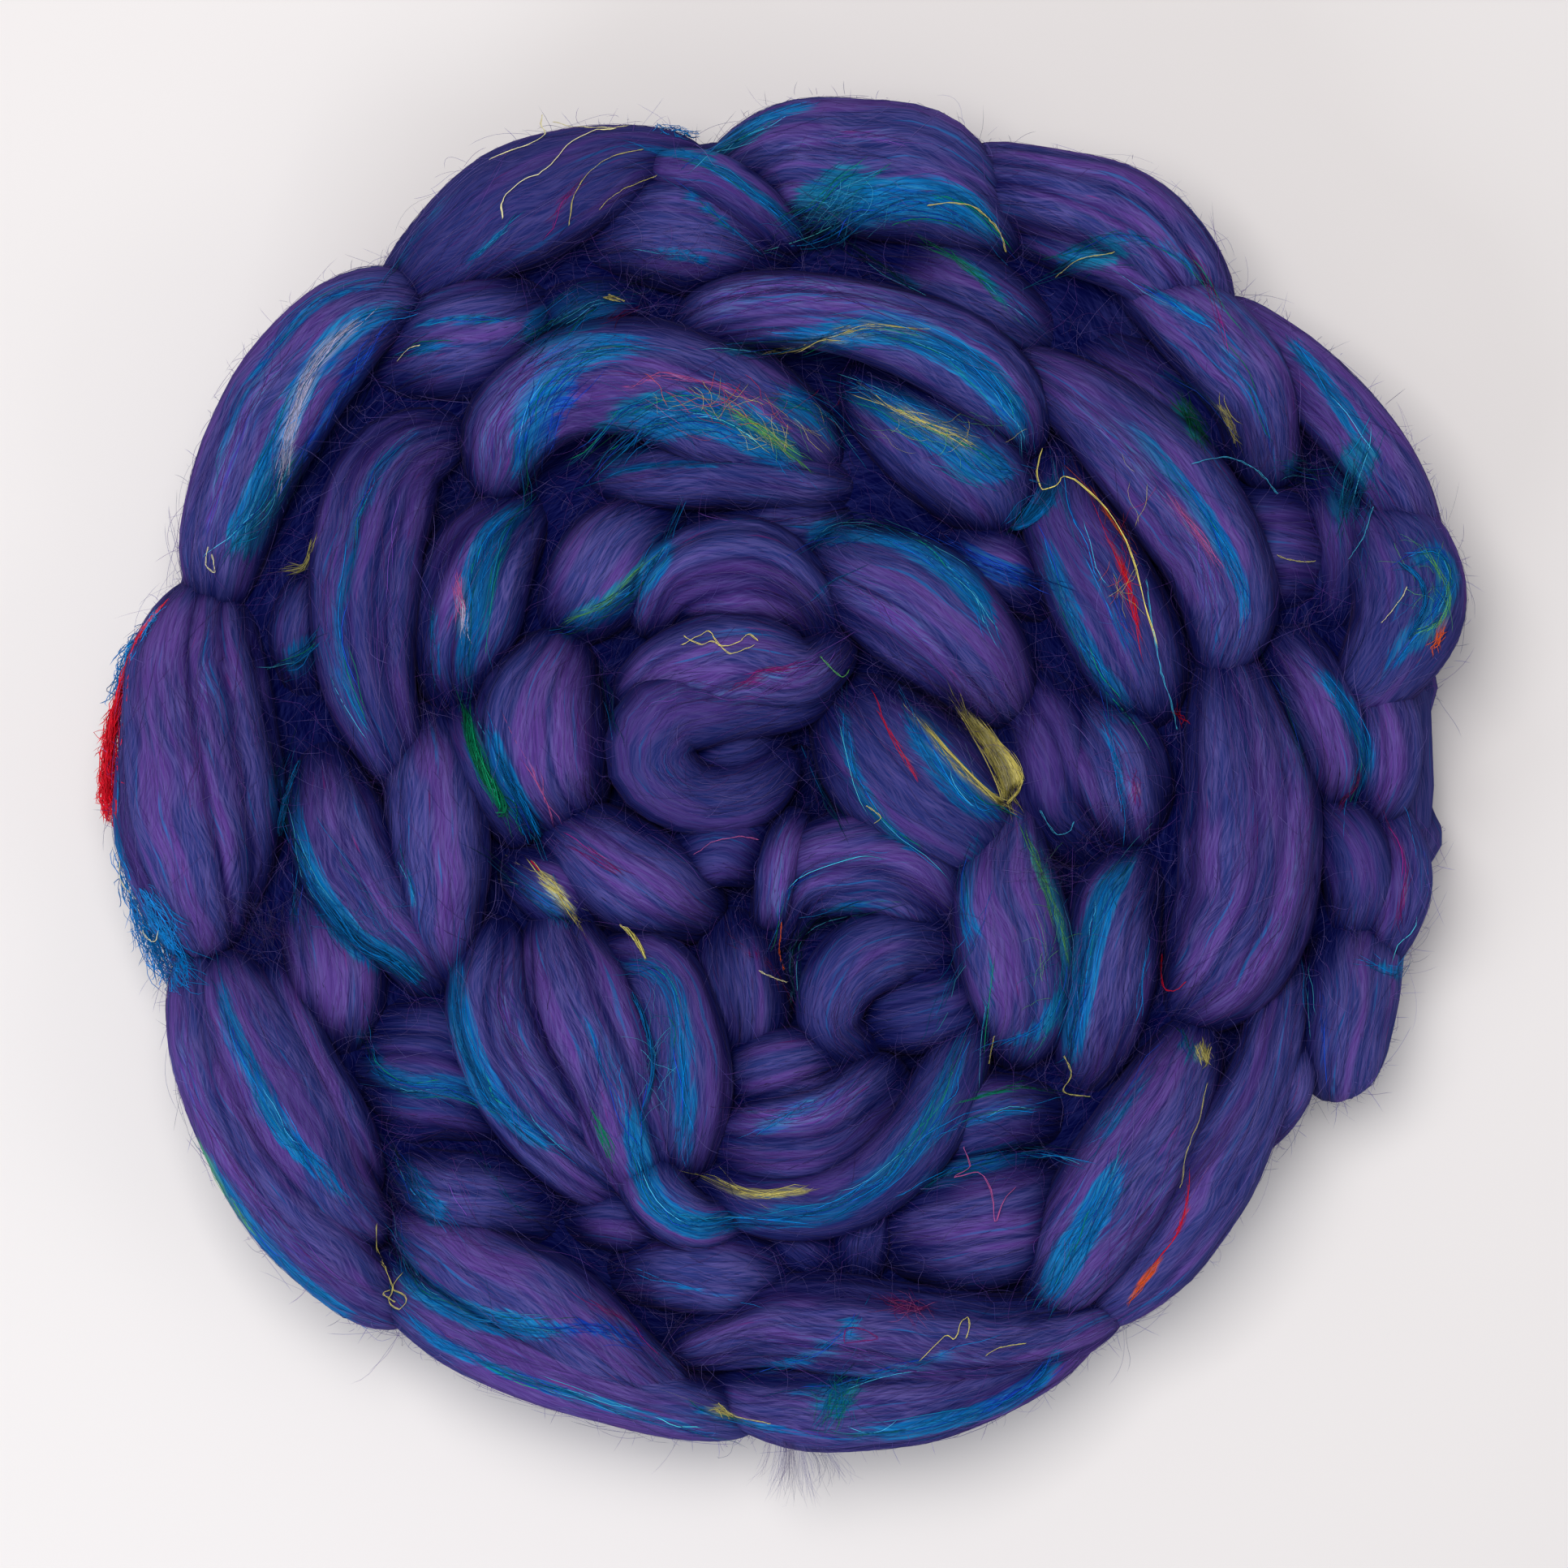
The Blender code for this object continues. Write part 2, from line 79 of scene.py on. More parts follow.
# Loose fibres, and what counts as low, seen, at the rim or on the coil
LOW_HEIGHT = 0.012
ON_COIL_SHARE = 0.7
STAINED_UNDER = 0.005
RIM_RADIUS = 0.148
SKIN_FLOOR = 0.0002
FIBRE_FLOOR = 0.0004
BOX_SPARE = 0.017
BOX_SPARE_UP = 0.008
DRAPE_SLOPE = 0.9
HEADING_STEP = 0.02
STRAND_APART = 0.00008
STRAND_SHARE = 0.54

# Radii of the fibres, from the thinnest to the thickest
STRAY_RADII = (0.000022, 0.00005)
FUZZ_RADII = (0.00002, 0.00006)
BRIDGE_RADII = (0.000018, 0.000038)
LOCK_RADII = (0.00006, 0.00012)
ROPE_RADII = (0.00005, 0.0001)
TANGLE_RADII = (0.000025, 0.000055)
TUFT_RADII = (0.00006, 0.00015)

# Lengths of the fibres, from the shortest to the longest
HAIR_REACHES = (0.005, 0.020)
STRAY_LENGTHS = (0.006, 0.020)
LOCK_LENGTHS = (0.010, 0.030)
LONGEST_FUZZ = 0.006

# Painted shade: what the colour darkens for, under the cover, on steep sides that face the coil, and in grooves
GROOVE_SHADE = 0.72
GENTLE_SLOPE = 0.4
STEEP_SHADE = 0.85
DEEP_SHADE = 2.3
OUTWARD_STEP = 0.014
HIDDEN_UNDER = 0.004

# The strand's section and how a lobe lies
THICKNESS_SHARE = 0.82
END_DIVE = 0.013
END_WIDTH_SHARE = 0.28
END_ROUNDING = 0.13

# The plait's back, along the spiral
SPIRAL_START = math.radians(-22.0)
SPIRAL_TURNS = 2.5
SPIRAL_RADII = (
    (0.00, 64.0), (0.30, 63.0), (0.60, 63.0), (0.85, 60.0), (1.05, 49.0),
    (1.30, 36.0), (1.65, 31.0), (1.95, 24.0), (2.20, 13.0), (2.50, 3.0),
)
HEART_WIDTH = 34.0
HEART_THICKNESS_SHARE = 0.36
HEART_CREST = 0.031
LINK_PITCH = 15.0
LINK_LEAN = 17.0
LINK_INNER = 2.0
LINK_OUTER = 14.0
LINK_WIDTH = 16.5
LINK_CREST = 0.0268
LINK_DIVE = -0.004
LINK_END_SHARE = 0.75
SPIRAL_STEP = 0.002
LAST_LINK = SPIRAL_TURNS - 0.06

# Each lobe: name, height of its crest in mm, sections as (across, down, width) in squares.
OUTER_TURN = (
    ("tail_tip", 40, ((168.5, 112, 11), (167, 120, 12.5), (165.7, 127, 12.3), (165, 131.8, 10), (164.8, 134.8, 4))),
    ("tail_inner", 42, ((162, 98, 6), (165.5, 103, 9), (167.5, 109, 9), (167, 115, 6))),
    ("tail_outer", 38, ((169.5, 96, 6), (172.7, 105, 7), (172.5, 112, 7), (170, 119, 5))),
    ("rise_a_inner", 44, ((157, 78, 8), (162, 86, 10), (164.5, 94, 9), (164, 100, 6))),
    ("rise_a_outer", 42, ((164, 77, 8), (170, 87, 9), (171, 96, 8), (168.5, 102, 5))),
    ("rise_b_loop", 48, ((168, 61, 8), (172.5, 68, 13), (173, 76, 13), (169, 84, 10), (165, 88, 6))),
    ("rise_b_outer", 46, ((150, 38, 8), (160, 46, 9), (167.3, 53.5, 9), (172.7, 61.5, 8), (176, 69, 6))),
    ("rise_b_bed", 38, ((162, 55, 8), (165.5, 63, 11), (166, 73, 10), (162.5, 80, 6))),
    ("rise_cross", 40, ((147, 67, 12), (156, 67.5, 17), (164, 68.5, 12))),
    ("rise_c_outer", 50, ((139, 34, 7), (147, 40, 11), (154, 49, 11), (157, 59, 8))),
    ("rise_c_inner", 42, ((132, 42, 8), (140, 47.5, 12), (147, 54, 11), (151, 60, 7))),
    ("top_a_outer", 50, ((117, 21.5, 8), (129, 23.8, 10.5), (139, 27.5, 11.5), (145.8, 34, 10), (150, 42, 7))),
    ("top_a_inner", 45, ((125, 27, 7), (132, 30, 8), (140, 32.5, 9), (147, 38, 9), (151, 44, 6))),
    ("top_b_under", 43, ((106, 31, 8), (114, 34, 11), (122, 38, 12), (129, 43, 8))),
    ("top_b_over", 52, ((87, 24, 8), (96, 20, 15), (105, 20.5, 17.5), (114, 22.5, 17), (121, 27, 11), (125, 31, 6))),
    ("top_c_under", 47, ((72, 30, 7), (79, 28.5, 13), (86, 28.5, 16), (93, 30, 12), (98, 31.5, 7))),
    ("top_c_over", 50, ((47.5, 38, 9), (57.5, 29.5, 13), (65.5, 25, 15), (73.5, 21.5, 12), (81, 19.5, 8),
     (87, 21, 6))),
    ("top_c_edge", 50, ((80, 21, 5), (87, 22, 6), (93, 25.5, 6), (98, 30, 5))),
    ("top_d_under", 45, ((47.5, 45, 10), (55, 42.5, 14), (62, 40.5, 14), (67, 38.5, 9))),
    ("top_d_peep", 39, ((65, 42.5, 6), (70, 39.5, 9), (76, 38, 8), (81, 39, 5))),
    ("fall_a_over", 51, ((26, 75, 9), (28.7, 62, 12), (33.9, 51.5, 13), (40, 43, 13), (46.5, 37.7, 10),
     (52, 37.5, 6))),
    ("fall_b_over", 52, ((25.5, 72, 10), (24.3, 81, 17), (24.2, 92, 20), (24.2, 103, 20), (24, 112, 14),
     (24.5, 118, 7))),
    ("fall_b_peep", 40, ((38.5, 70, 5), (36.5, 78, 7), (37.5, 86, 5))),
    ("fall_c_under", 43, ((37.5, 108, 8), (41, 117, 12), (42, 124, 11), (41.5, 131, 5))),
    ("fall_d_outer", 48, ((23.5, 117, 7), (25.8, 130, 9.5), (30.2, 140.5, 10.5), (36.8, 150.3, 10.5),
     (43.5, 157.7, 9), (50, 162.5, 6))),
    ("fall_d_middle", 51, ((27, 118, 7), (31.5, 128, 11), (37, 138, 12), (42, 147, 10), (46.5, 153, 6))),
    ("fall_d_inner", 46, ((33, 119, 6), (37, 129, 8), (42, 139, 8), (45.5, 147, 5))),
    ("base_a_under", 44, ((44.5, 131, 13), (50, 131, 18.5), (56, 132.5, 19), (62, 137, 11), (66, 141, 5))),
    ("base_b_under", 42, ((47, 143, 6), (54, 146.5, 10), (61, 148, 11), (69, 150.5, 8))),
    ("base_b_upper", 50, ((48.5, 150, 7), (58, 155.5, 11), (68, 161, 12.5), (77, 168, 10), (85, 174, 6))),
    ("base_b_outer", 46, ((45.5, 155, 7), (53, 161.3, 9), (62, 165.7, 10), (72, 169.8, 10), (82, 173.2, 8.5),
     (93, 175.5, 6))),
    ("base_c_under", 43, ((75, 157, 7), (83, 156, 11), (91, 156.5, 11), (99, 158.5, 7))),
    ("base_c_upper", 50, ((82, 167, 6), (95, 163, 10.5), (106, 163.5, 12.5), (117, 165, 12), (127, 164.5, 10.5),
     (138, 161.5, 7))),
    ("base_c_outer", 46, ((88, 171.5, 7), (99, 173.5, 11), (110, 172.5, 11), (120, 170.5, 10), (129, 166.5, 8),
     (136, 162, 5))),
    ("base_d_outer", 48, ((158.5, 117, 7), (157, 128, 8), (153.3, 137, 9.5), (148.3, 145.5, 11.5),
     (142, 154.3, 11.5), (134, 162.5, 8))),
    ("base_d_inner", 51, ((148, 126, 7), (145, 133, 12), (140.5, 141, 14), (135, 150, 14), (130.5, 158, 10),
     (127.5, 163, 5))),
    ("base_d_side", 40, ((160, 127, 5), (158.5, 134, 7), (154.5, 141, 5))),
    ("base_c_bun", 47, ((109.5, 152, 12), (116, 150.5, 18), (124, 149.5, 18), (130.5, 148, 11))),
    ("base_c_brow", 44, ((108.5, 144, 7), (115, 139.5, 9), (122, 137.5, 10), (130.5, 138, 8))),
)
INNER_TURN = (
    ("side_a_over", 53, ((150.5, 79, 7), (152.5, 89, 13), (154, 100, 16.5), (153.5, 110, 17), (150.5, 119, 15),
     (145.5, 126, 8))),
    ("side_a_inner", 44, ((133, 86, 7), (137, 92, 12), (139, 98, 11), (140, 104, 6))),
    ("side_a_bed", 40, ((124, 81, 9), (129, 90, 13), (131, 99, 12), (137, 106, 8))),
    ("side_b_long", 54, ((124.5, 44, 6), (133, 49.5, 10), (141, 57, 13), (148, 66, 14), (151.5, 75, 12),
     (150, 83, 7))),
    ("side_b_inner", 49, ((129.5, 54, 6), (131, 63, 11), (135.5, 72, 14), (139.5, 81, 13), (142.5, 89, 8))),
    ("crown_a_over", 54, ((83.5, 41, 6), (90, 38.7, 9), (100, 38.5, 9), (110, 41, 10), (119, 45, 11),
     (125.5, 51, 8), (127, 56, 4))),
    ("crown_a_under", 47, ((104.5, 46, 7), (111, 51, 12), (117, 56, 14), (122, 61, 12), (124, 66, 6))),
    ("crown_b_over", 54, ((60.5, 61, 8), (63, 52.5, 12), (70, 47.5, 14), (79, 47, 15), (88, 49.5, 15.5),
     (96, 53, 13), (102.5, 57.5, 8))),
    ("crown_b_under", 46, ((73, 59, 5), (81, 58.5, 8), (90, 58.5, 9), (98, 59.5, 8), (105, 60, 5))),
    ("crown_b_bed", 41, ((84.5, 63, 6), (92, 64.5, 9), (99, 65, 9), (106, 63, 6))),
    ("left_a_over", 53, ((57, 53, 7), (49.5, 56.5, 12), (46, 65, 14), (45, 75, 13.5), (46, 85, 11), (48.7, 93, 8),
     (50.5, 98, 4))),
    ("left_a_inner", 47, ((65.5, 61.5, 7), (60, 68, 13), (57.3, 76, 14), (56, 83, 10), (57, 89, 5))),
    ("left_a_bed", 43, ((84, 62.5, 8), (77.5, 67.5, 13), (72, 73.5, 12), (67.5, 79, 6))),
    ("left_b_outer", 48, ((39.5, 92, 7), (41.5, 101, 12.5), (45.5, 110, 13), (50.5, 117, 9), (54.5, 123, 5))),
    ("left_b_inner", 50, ((52, 87, 6), (53.8, 96, 12), (54, 105, 13), (54.3, 113, 10), (56, 122, 5))),
    ("left_c_outer", 52, ((61.5, 114, 8), (60.8, 124, 12), (64.5, 133, 13), (70.5, 141, 11), (78, 147.5, 7))),
    ("left_c_middle", 54, ((68, 112.5, 8), (71, 122, 14), (75, 131, 14.5), (78, 140, 12), (81, 148, 7))),
    ("left_c_arm", 53, ((74, 118, 6), (81, 119.5, 9), (84.3, 128, 10), (84.8, 137, 9.5), (84, 145, 7))),
    ("left_c_hook", 49, ((78, 139, 6), (80.5, 146.5, 8), (86, 150.5, 7), (93, 149.5, 4))),
    ("foot_a_outer", 51, ((85, 144.5, 6), (94, 148, 8), (104, 147, 9), (112, 141, 9), (117, 133, 8.5),
     (120.5, 125, 6))),
    ("foot_a_middle", 50, ((86.5, 140, 8), (95, 139.5, 12), (103, 138, 12.5), (110.5, 132.5, 9))),
    ("foot_a_inner", 46, ((86.5, 135, 6), (93, 132, 9.5), (99, 130.5, 8), (105, 130, 5))),
    ("foot_b_chip", 40, ((69.5, 150.5, 5), (76, 150, 8), (84, 151.5, 6))),
    ("foot_b_wedge", 40, ((93, 150, 5), (99, 153.5, 7.5), (104.5, 158, 5))),
    ("foot_b_stalk", 41, ((106.5, 144, 6), (106.5, 151, 8), (105, 159, 5))),
    ("side_c_over", 51, ((124.5, 98, 7), (123, 107, 13), (124.8, 116, 15), (126, 124, 13), (124.5, 131, 6))),
    ("side_c_inner", 46, ((142, 104, 6), (137.5, 112, 12), (136, 121, 13), (134.8, 129, 10), (132.5, 135, 5))),
)
MIDDLE = (
    ("curl_arch", 53, ((80, 77.5, 7), (84, 72, 11), (91.5, 70.5, 13), (98.5, 74, 10), (102, 80, 5))),
    ("curl_brow", 55, ((77.5, 87, 7), (83, 83, 10), (91, 81.5, 11), (99, 83, 9), (104.5, 79, 5))),
    ("curl_lip", 54, ((103.5, 83.5, 6), (97, 85.5, 9), (89, 86.5, 10), (82, 88.5, 10.5), (80.5, 94, 10.5),
     (85, 98.2, 9.5), (92, 97.8, 9), (97.5, 93, 6))),
    ("curl_chin", 44, ((83, 92, 7), (89, 92.5, 9), (96, 90.5, 7))),
    ("heart_a_over", 53, ((100, 68, 7), (106, 71, 13), (113.5, 75, 16), (120, 81, 14), (125, 88, 8))),
    ("heart_a_under", 42, ((116.5, 66.5, 6), (123, 70, 9), (129.5, 75, 6))),
    ("heart_b_bun", 52, ((103.5, 85, 10), (108, 91.5, 17), (113.5, 98, 19.5), (118.5, 103, 15), (122, 107, 7))),
    ("heart_c_arch", 49, ((95, 117.5, 6), (98.5, 109, 10), (106, 106.5, 13), (114, 109, 12), (120, 115, 7))),
    ("heart_c_strip", 47, ((98, 100.5, 5), (95.8, 107, 5), (95, 114, 4))),
    ("heart_d_hook", 50, ((118, 117, 8), (110, 116.3, 10), (104, 120, 9), (102.5, 126, 8), (107, 131, 6))),
    ("heart_d_palm", 44, ((105, 126, 8), (111, 124, 12), (117, 122.5, 11), (121, 119, 6))),
    ("heart_e_button", 45, ((83.5, 105, 8), (89, 103.5, 11), (94.5, 106, 8))),
    ("heart_e_bun", 48, ((68.5, 101, 8), (74, 105, 13), (81, 109.5, 14), (87.5, 113, 8))),
    ("heart_e_chip", 42, ((62.5, 106.5, 6), (68, 109.5, 9), (74, 114, 7))),
    ("heart_f_bun", 51, ((69.5, 79, 8), (67, 86.5, 16), (67.5, 94, 17), (71, 100, 10))),
    ("heart_f_strip", 46, ((57, 87.5, 6), (60, 95, 8), (64.5, 103, 6))),
    ("heart_g_bun", 44, ((90, 113, 7), (91, 120, 11.5), (91.5, 127, 11.5), (89.5, 132, 6))),
)

# Lobes that are combed into deeper channels, and how many times deeper.
CHANNELLED = {
    "fall_b_over": 3.2,
    "left_c_outer": 1.8,
    "left_c_middle": 2.4,
    "heart_c_arch": 2.0,
    "heart_a_over": 1.6,
    "foot_a_middle": 2.2,
    "left_a_over": 1.8,
    "base_a_under": 2.2,
    "base_c_upper": 2.2,
    "base_c_outer": 1.8,
    "side_a_over": 1.6,
    "top_a_outer": 1.8,
    "curl_arch": 1.8,
    "left_a_inner": 1.8,
}

# Lobes whose strands turn round them, and how far they turn by the end, in half widths of the lobe.
TURNED = {
    "fall_b_over": 1.3,
    "base_d_inner": -0.7,
    "heart_b_bun": 0.6,
    "side_a_over": -0.5,
    "top_b_over": 0.5,
}

# Silk in the blend: colour, width in squares, how much of it shows, its line as (across, down) in squares.
SILK = (
    # fall_a and top_d
    ("turquoise", 1.2, 0.5, ((48, 35.6), (41, 37), (35.5, 42), (30, 50.5), (27, 59))),
    ("turquoise", 2.4, 0.65, ((51, 38), (45, 40), (40, 45), (36, 52), (32.5, 60), (29, 67))),
    ("royal", 2, 0.6, ((47, 42), (42, 50), (37.5, 58))),
    ("teal", 3.2, 0.85, ((36.5, 57), (33.5, 63), (29, 68))),
    ("lilac_white", 1.2, 0.95, ((44.5, 40.5), (41.5, 43), (39, 46.5), (37.5, 50), (36, 55), (35.2, 59))),
    ("lavender", 1.6, 0.6, ((36, 44), (32, 50), (28.5, 58), (26, 67))),
    ("turquoise", 0.8, 0.7, ((51, 40.4), (57, 39.8), (64, 39.8))),
    ("turquoise", 1.2, 0.7, ((50.5, 43.5), (53, 43), (56, 42.6))),
    ("turquoise", 4.4, 1, ((65.5, 43), (69, 40), (73, 37.6), (77, 36.6))),
    ("magenta", 1.6, 0.6, ((75.5, 40), (78.5, 38))),
    # top_c and top_b
    ("turquoise", 0.9, 0.45, ((48.5, 33.5), (52, 28.5), (56, 24.5))),
    ("turquoise", 0.8, 0.5, ((57, 33.5), (60, 31), (63.5, 28))),
    ("magenta", 1.2, 0.4, ((68, 28.5), (70, 25.5), (72, 23.5))),
    ("turquoise", 1.1, 0.85, ((79, 18.8), (84, 19.5), (89, 22), (95, 26), (99.5, 30))),
    ("turquoise", 0.9, 0.7, ((84, 23.5), (87.5, 26.5), (91, 29.5))),
    ("turquoise", 1, 0.8, ((80.8, 31.3), (84, 31.8), (87.5, 33))),
    ("turquoise", 1.3, 0.75, ((87, 19.5), (91, 16.5), (96, 14.2), (101, 13.2))),
    ("teal", 1.6, 0.6, ((86, 20), (90, 18), (94.5, 16.2))),
    ("turquoise", 3.4, 0.9, ((97.5, 30.5), (102, 29), (107, 26.5), (113, 25.3), (119, 26.5), (123, 30))),
    ("teal", 4.4, 0.9, ((98, 27.5), (101, 26), (104, 24), (106.5, 23))),
    ("lavender", 1.4, 0.4, ((95, 20), (103, 17.5), (112, 18.5))),
    ("teal", 1.4, 0.75, ((105.5, 31), (109, 33.5), (113.5, 36.5))),
    ("emerald", 1, 0.5, ((114, 30), (119, 33), (124, 38))),
    ("turquoise", 1.5, 0.3, ((119, 33), (125, 37.5), (129.5, 42.5))),
    # top_a and rise_c
    ("turquoise", 1.3, 0.4, ((130.5, 32), (137, 29.8), (143, 31.2), (148, 35), (151, 40))),
    ("teal", 2.4, 0.7, ((129.5, 33.5), (134, 31.8), (138.5, 31.6))),
    ("magenta", 0.8, 0.5, ((145.5, 30.5), (148.5, 35), (150, 41))),
    ("turquoise", 1, 0.7, ((140.5, 35.8), (144.5, 38.3), (148.5, 41))),
    ("turquoise", 1.2, 0.4, ((149, 42.5), (153, 48), (156, 54.5))),
    ("turquoise", 0.9, 0.5, ((142, 45.5), (147, 48.5), (151.5, 53.5))),
    ("emerald", 2.2, 0.95, ((145.5, 50), (147.8, 54.3))),
    ("straw", 0.9, 0.8, ((150, 50.8), (151.8, 54.3))),
    # rise_b and rise_a
    ("turquoise", 1.7, 0.65, ((158.5, 41.5), (163, 48), (167.5, 54.5))),
    ("teal", 3.2, 0.8, ((168, 54.5), (166.2, 58.5), (165.2, 64))),
    ("teal", 2.6, 0.6, ((158, 57.5), (162.5, 58.3))),
    ("turquoise", 2.2, 0.95, ((172.5, 69.6), (176, 68.6), (177.8, 71.5), (176, 76), (173, 79), (170.5, 82))),
    ("lime", 0.6, 0.8, ((175.5, 69.5), (177.6, 73), (176.5, 77), (173.5, 78))),
    ("orange", 0.9, 0.7, ((177, 78), (176, 80))),
    ("turquoise", 0.7, 0.3, ((169.5, 61), (168, 66), (167.5, 71))),
    ("turquoise", 1.7, 0.75, ((161.5, 82), (165.5, 87), (168, 93), (166.5, 99.5))),
    ("magenta", 0.7, 0.8, ((167.3, 94.5), (166.8, 97), (165.3, 99))),
    ("teal", 0.8, 0.55, ((155.5, 81), (158.3, 87), (160, 93))),
    # tail
    ("turquoise", 1.1, 0.2, ((174, 100), (175.3, 107), (175, 113), (172.5, 117))),
    ("magenta", 0.9, 0.4, ((171, 101), (173, 107), (172, 114))),
    ("turquoise", 1.5, 0.75, ((169, 118.5), (172.5, 119.8), (175, 118))),
    ("turquoise", 0.8, 0.4, ((160.8, 120), (161.3, 126))),
    ("royal", 1.4, 0.3, ((163, 124), (163.3, 132))),
    # crown_a
    ("turquoise", 2.8, 0.88, ((91.5, 43), (100, 42.6), (108, 41.3), (115, 43.2), (120.5, 46.5), (124.5, 51),
     (125.8, 55))),
    ("straw", 0.6, 0.6, ((95.5, 43.4), (101, 42.6), (108, 41), (114, 42))),
    ("teal", 1, 0.55, ((88.5, 43.8), (95.5, 43.8))),
    ("lavender", 3.4, 0.55, ((85, 40), (92, 36.8), (100, 36), (108, 37), (116, 41))),
    ("turquoise", 3.4, 0.95, ((103.5, 46.8), (109, 49.5), (115, 53.5), (121, 57), (125, 58.2))),
    ("straw", 1.4, 0.5, ((109.5, 50.5), (115, 53), (120, 55.5))),
    ("teal", 1, 0.35, ((116, 58), (121, 60.5))),
    # crown_b
    ("turquoise", 2.9, 0.7, ((65, 60.5), (64.8, 56), (66.5, 50), (70, 46), (75, 43.6), (81, 43.6))),
    ("royal", 2, 0.65, ((67, 56.5), (68.8, 51), (71.5, 48))),
    ("lavender", 2.6, 0.6, ((59.5, 60), (61, 52.5), (66, 46), (72, 43))),
    ("turquoise", 3.8, 1, ((74, 57), (80, 52.8), (87, 51.7), (93, 54), (97.5, 57.3))),
    ("teal", 2, 0.55, ((71.5, 56.5), (77.5, 51.2), (83, 49.6))),
    ("pink", 0.6, 0.4, ((76, 49.3), (82, 47), (90, 48.5))),
    ("lime", 1.1, 0.75, ((89.5, 51.2), (94.5, 53.8), (98.5, 56.8))),
    ("turquoise", 3.2, 0.85, ((96, 49.5), (101.5, 51), (104.5, 54.5))),
    ("turquoise", 0.8, 0.5, ((74, 59), (80, 57.6), (90, 57.6))),
    ("lavender", 1.6, 0.4, ((86, 64), (93, 64.5), (101, 63.5))),
    # left_a
    ("turquoise", 1.4, 0.5, ((52.5, 53), (47.5, 57.5), (45, 64), (43.6, 71), (42.6, 77), (43.8, 84), (46, 90))),
    ("turquoise", 1.2, 0.35, ((41, 80), (43, 86), (46, 91))),
    ("lavender", 2, 0.45, ((50, 56), (44, 63), (41, 72), (41, 80))),
    ("lavender", 1.6, 0.35, ((49, 64), (48, 74), (48, 84))),
    ("turquoise", 2.4, 0.78, ((64.5, 62), (60.5, 66), (58.7, 72), (58, 78), (57.3, 85))),
    ("teal", 1.2, 0.6, ((66, 61.5), (63, 65), (61, 72), (60, 79))),
    ("lilac_white", 0.8, 0.85, ((57.4, 74.5), (57.5, 78.2))),
    ("pink", 0.8, 0.7, ((56.8, 71.5), (57.2, 76))),
    ("turquoise", 1, 0.5, ((53.8, 75), (54, 84))),
    ("turquoise", 2.4, 0.82, ((82.8, 65), (80.5, 70), (76, 74.2), (71, 77), (68.8, 77.8))),
    ("lime", 0.7, 0.6, ((79, 70), (74.5, 74.4), (70.5, 76))),
    ("turquoise", 2.8, 0.75, ((34.8, 82), (37, 81.2), (39.3, 79))),
    ("straw", 0.9, 0.8, ((35, 70.2), (37.3, 69.8), (38.5, 67.5))),
    # left_b and fall_c
    ("turquoise", 2.6, 1, ((36, 92), (35.2, 98), (36.8, 104), (40, 110.5), (44.5, 116), (50, 119.3), (51.8, 120.6))),
    ("turquoise", 1.1, 0.2, ((39, 101), (43, 106), (47, 112.5))),
    ("turquoise", 1, 0.4, ((50, 106), (52, 112))),
    ("turquoise", 1.4, 0.45, ((36.5, 108), (36, 114))),
    # fall_b
    ("lavender", 1.2, 0.45, ((26.5, 79), (25.6, 88), (25, 98))),
    ("lavender", 1, 0.45, ((30, 78), (29.7, 90), (30.5, 98))),
    ("turquoise", 2.8, 0.95, ((13.7, 101), (14, 108), (16.3, 114), (20, 118), (23, 119))),
    ("turquoise", 0.9, 0.25, ((14.6, 96), (14.2, 102))),
    # fall_d
    ("turquoise", 1.7, 0.7, ((27.3, 120.5), (29.5, 127), (32.5, 132.5), (36, 139), (40, 143.8), (43, 148))),
    ("turquoise", 1.1, 0.45, ((32, 134), (35, 139.5), (38.5, 142))),
    ("turquoise", 2.4, 0.85, ((26, 143), (30, 150), (35, 156.3), (40, 160.5), (44, 163))),
    ("lime", 0.9, 0.95, ((23.9, 139.5), (27.1, 145.5), (31.4, 151.8))),
    ("lavender", 2, 0.45, ((22.5, 124), (24, 133), (29, 143), (36, 152), (43, 159))),
    ("lavender", 1.4, 0.4, ((27, 124), (29.5, 131), (33, 138))),
    # base_a and base_b
    ("turquoise", 2.2, 0.88, ((45, 127), (46, 131), (50, 133.6), (56, 133.8), (62, 136))),
    ("turquoise", 2.4, 0.95, ((48.3, 142), (51, 146.2), (54.8, 150.3))),
    ("turquoise", 1.3, 0.3, ((60, 143.5), (63, 147.5), (66.5, 151))),
    ("lavender", 1.6, 0.45, ((55, 143.5), (57, 147), (58.5, 150))),
    ("turquoise", 2.4, 0.88, ((48.3, 151.5), (51, 157.3), (56, 160.6), (63, 162.6), (70, 163.2))),
    ("royal", 1.7, 0.6, ((69.5, 162.6), (75, 163.2), (79.5, 165))),
    ("turquoise", 1.3, 0.62, ((47.8, 158), (53, 164), (60, 167.5), (70, 171), (80, 174.3), (88.5, 177))),
    ("magenta", 0.9, 0.55, ((73, 160), (77, 162.3), (79, 164.5))),
    ("turquoise", 0.6, 0.45, ((80, 157), (87, 158.8), (92, 159.8))),
    # base_c
    ("turquoise", 1.1, 0.75, ((92, 169.3), (99, 167), (104, 163.5), (106, 161))),
    ("turquoise", 1, 0.6, ((96, 171.5), (104, 170), (112, 167.5), (119, 165))),
    ("magenta", 1.2, 0.6, ((108.5, 159.6), (113, 160.6))),
    ("turquoise", 1.7, 0.85, ((104, 176.3), (110, 176), (116, 174.6), (121, 173.6), (125, 172), (129, 168.8),
     (130.3, 165.6))),
    ("royal", 1.2, 0.8, ((121.5, 172.6), (125.5, 170.8), (128.8, 168))),
    ("teal", 2.8, 0.75, ((101.8, 174.2), (103, 171.8), (105, 169.8))),
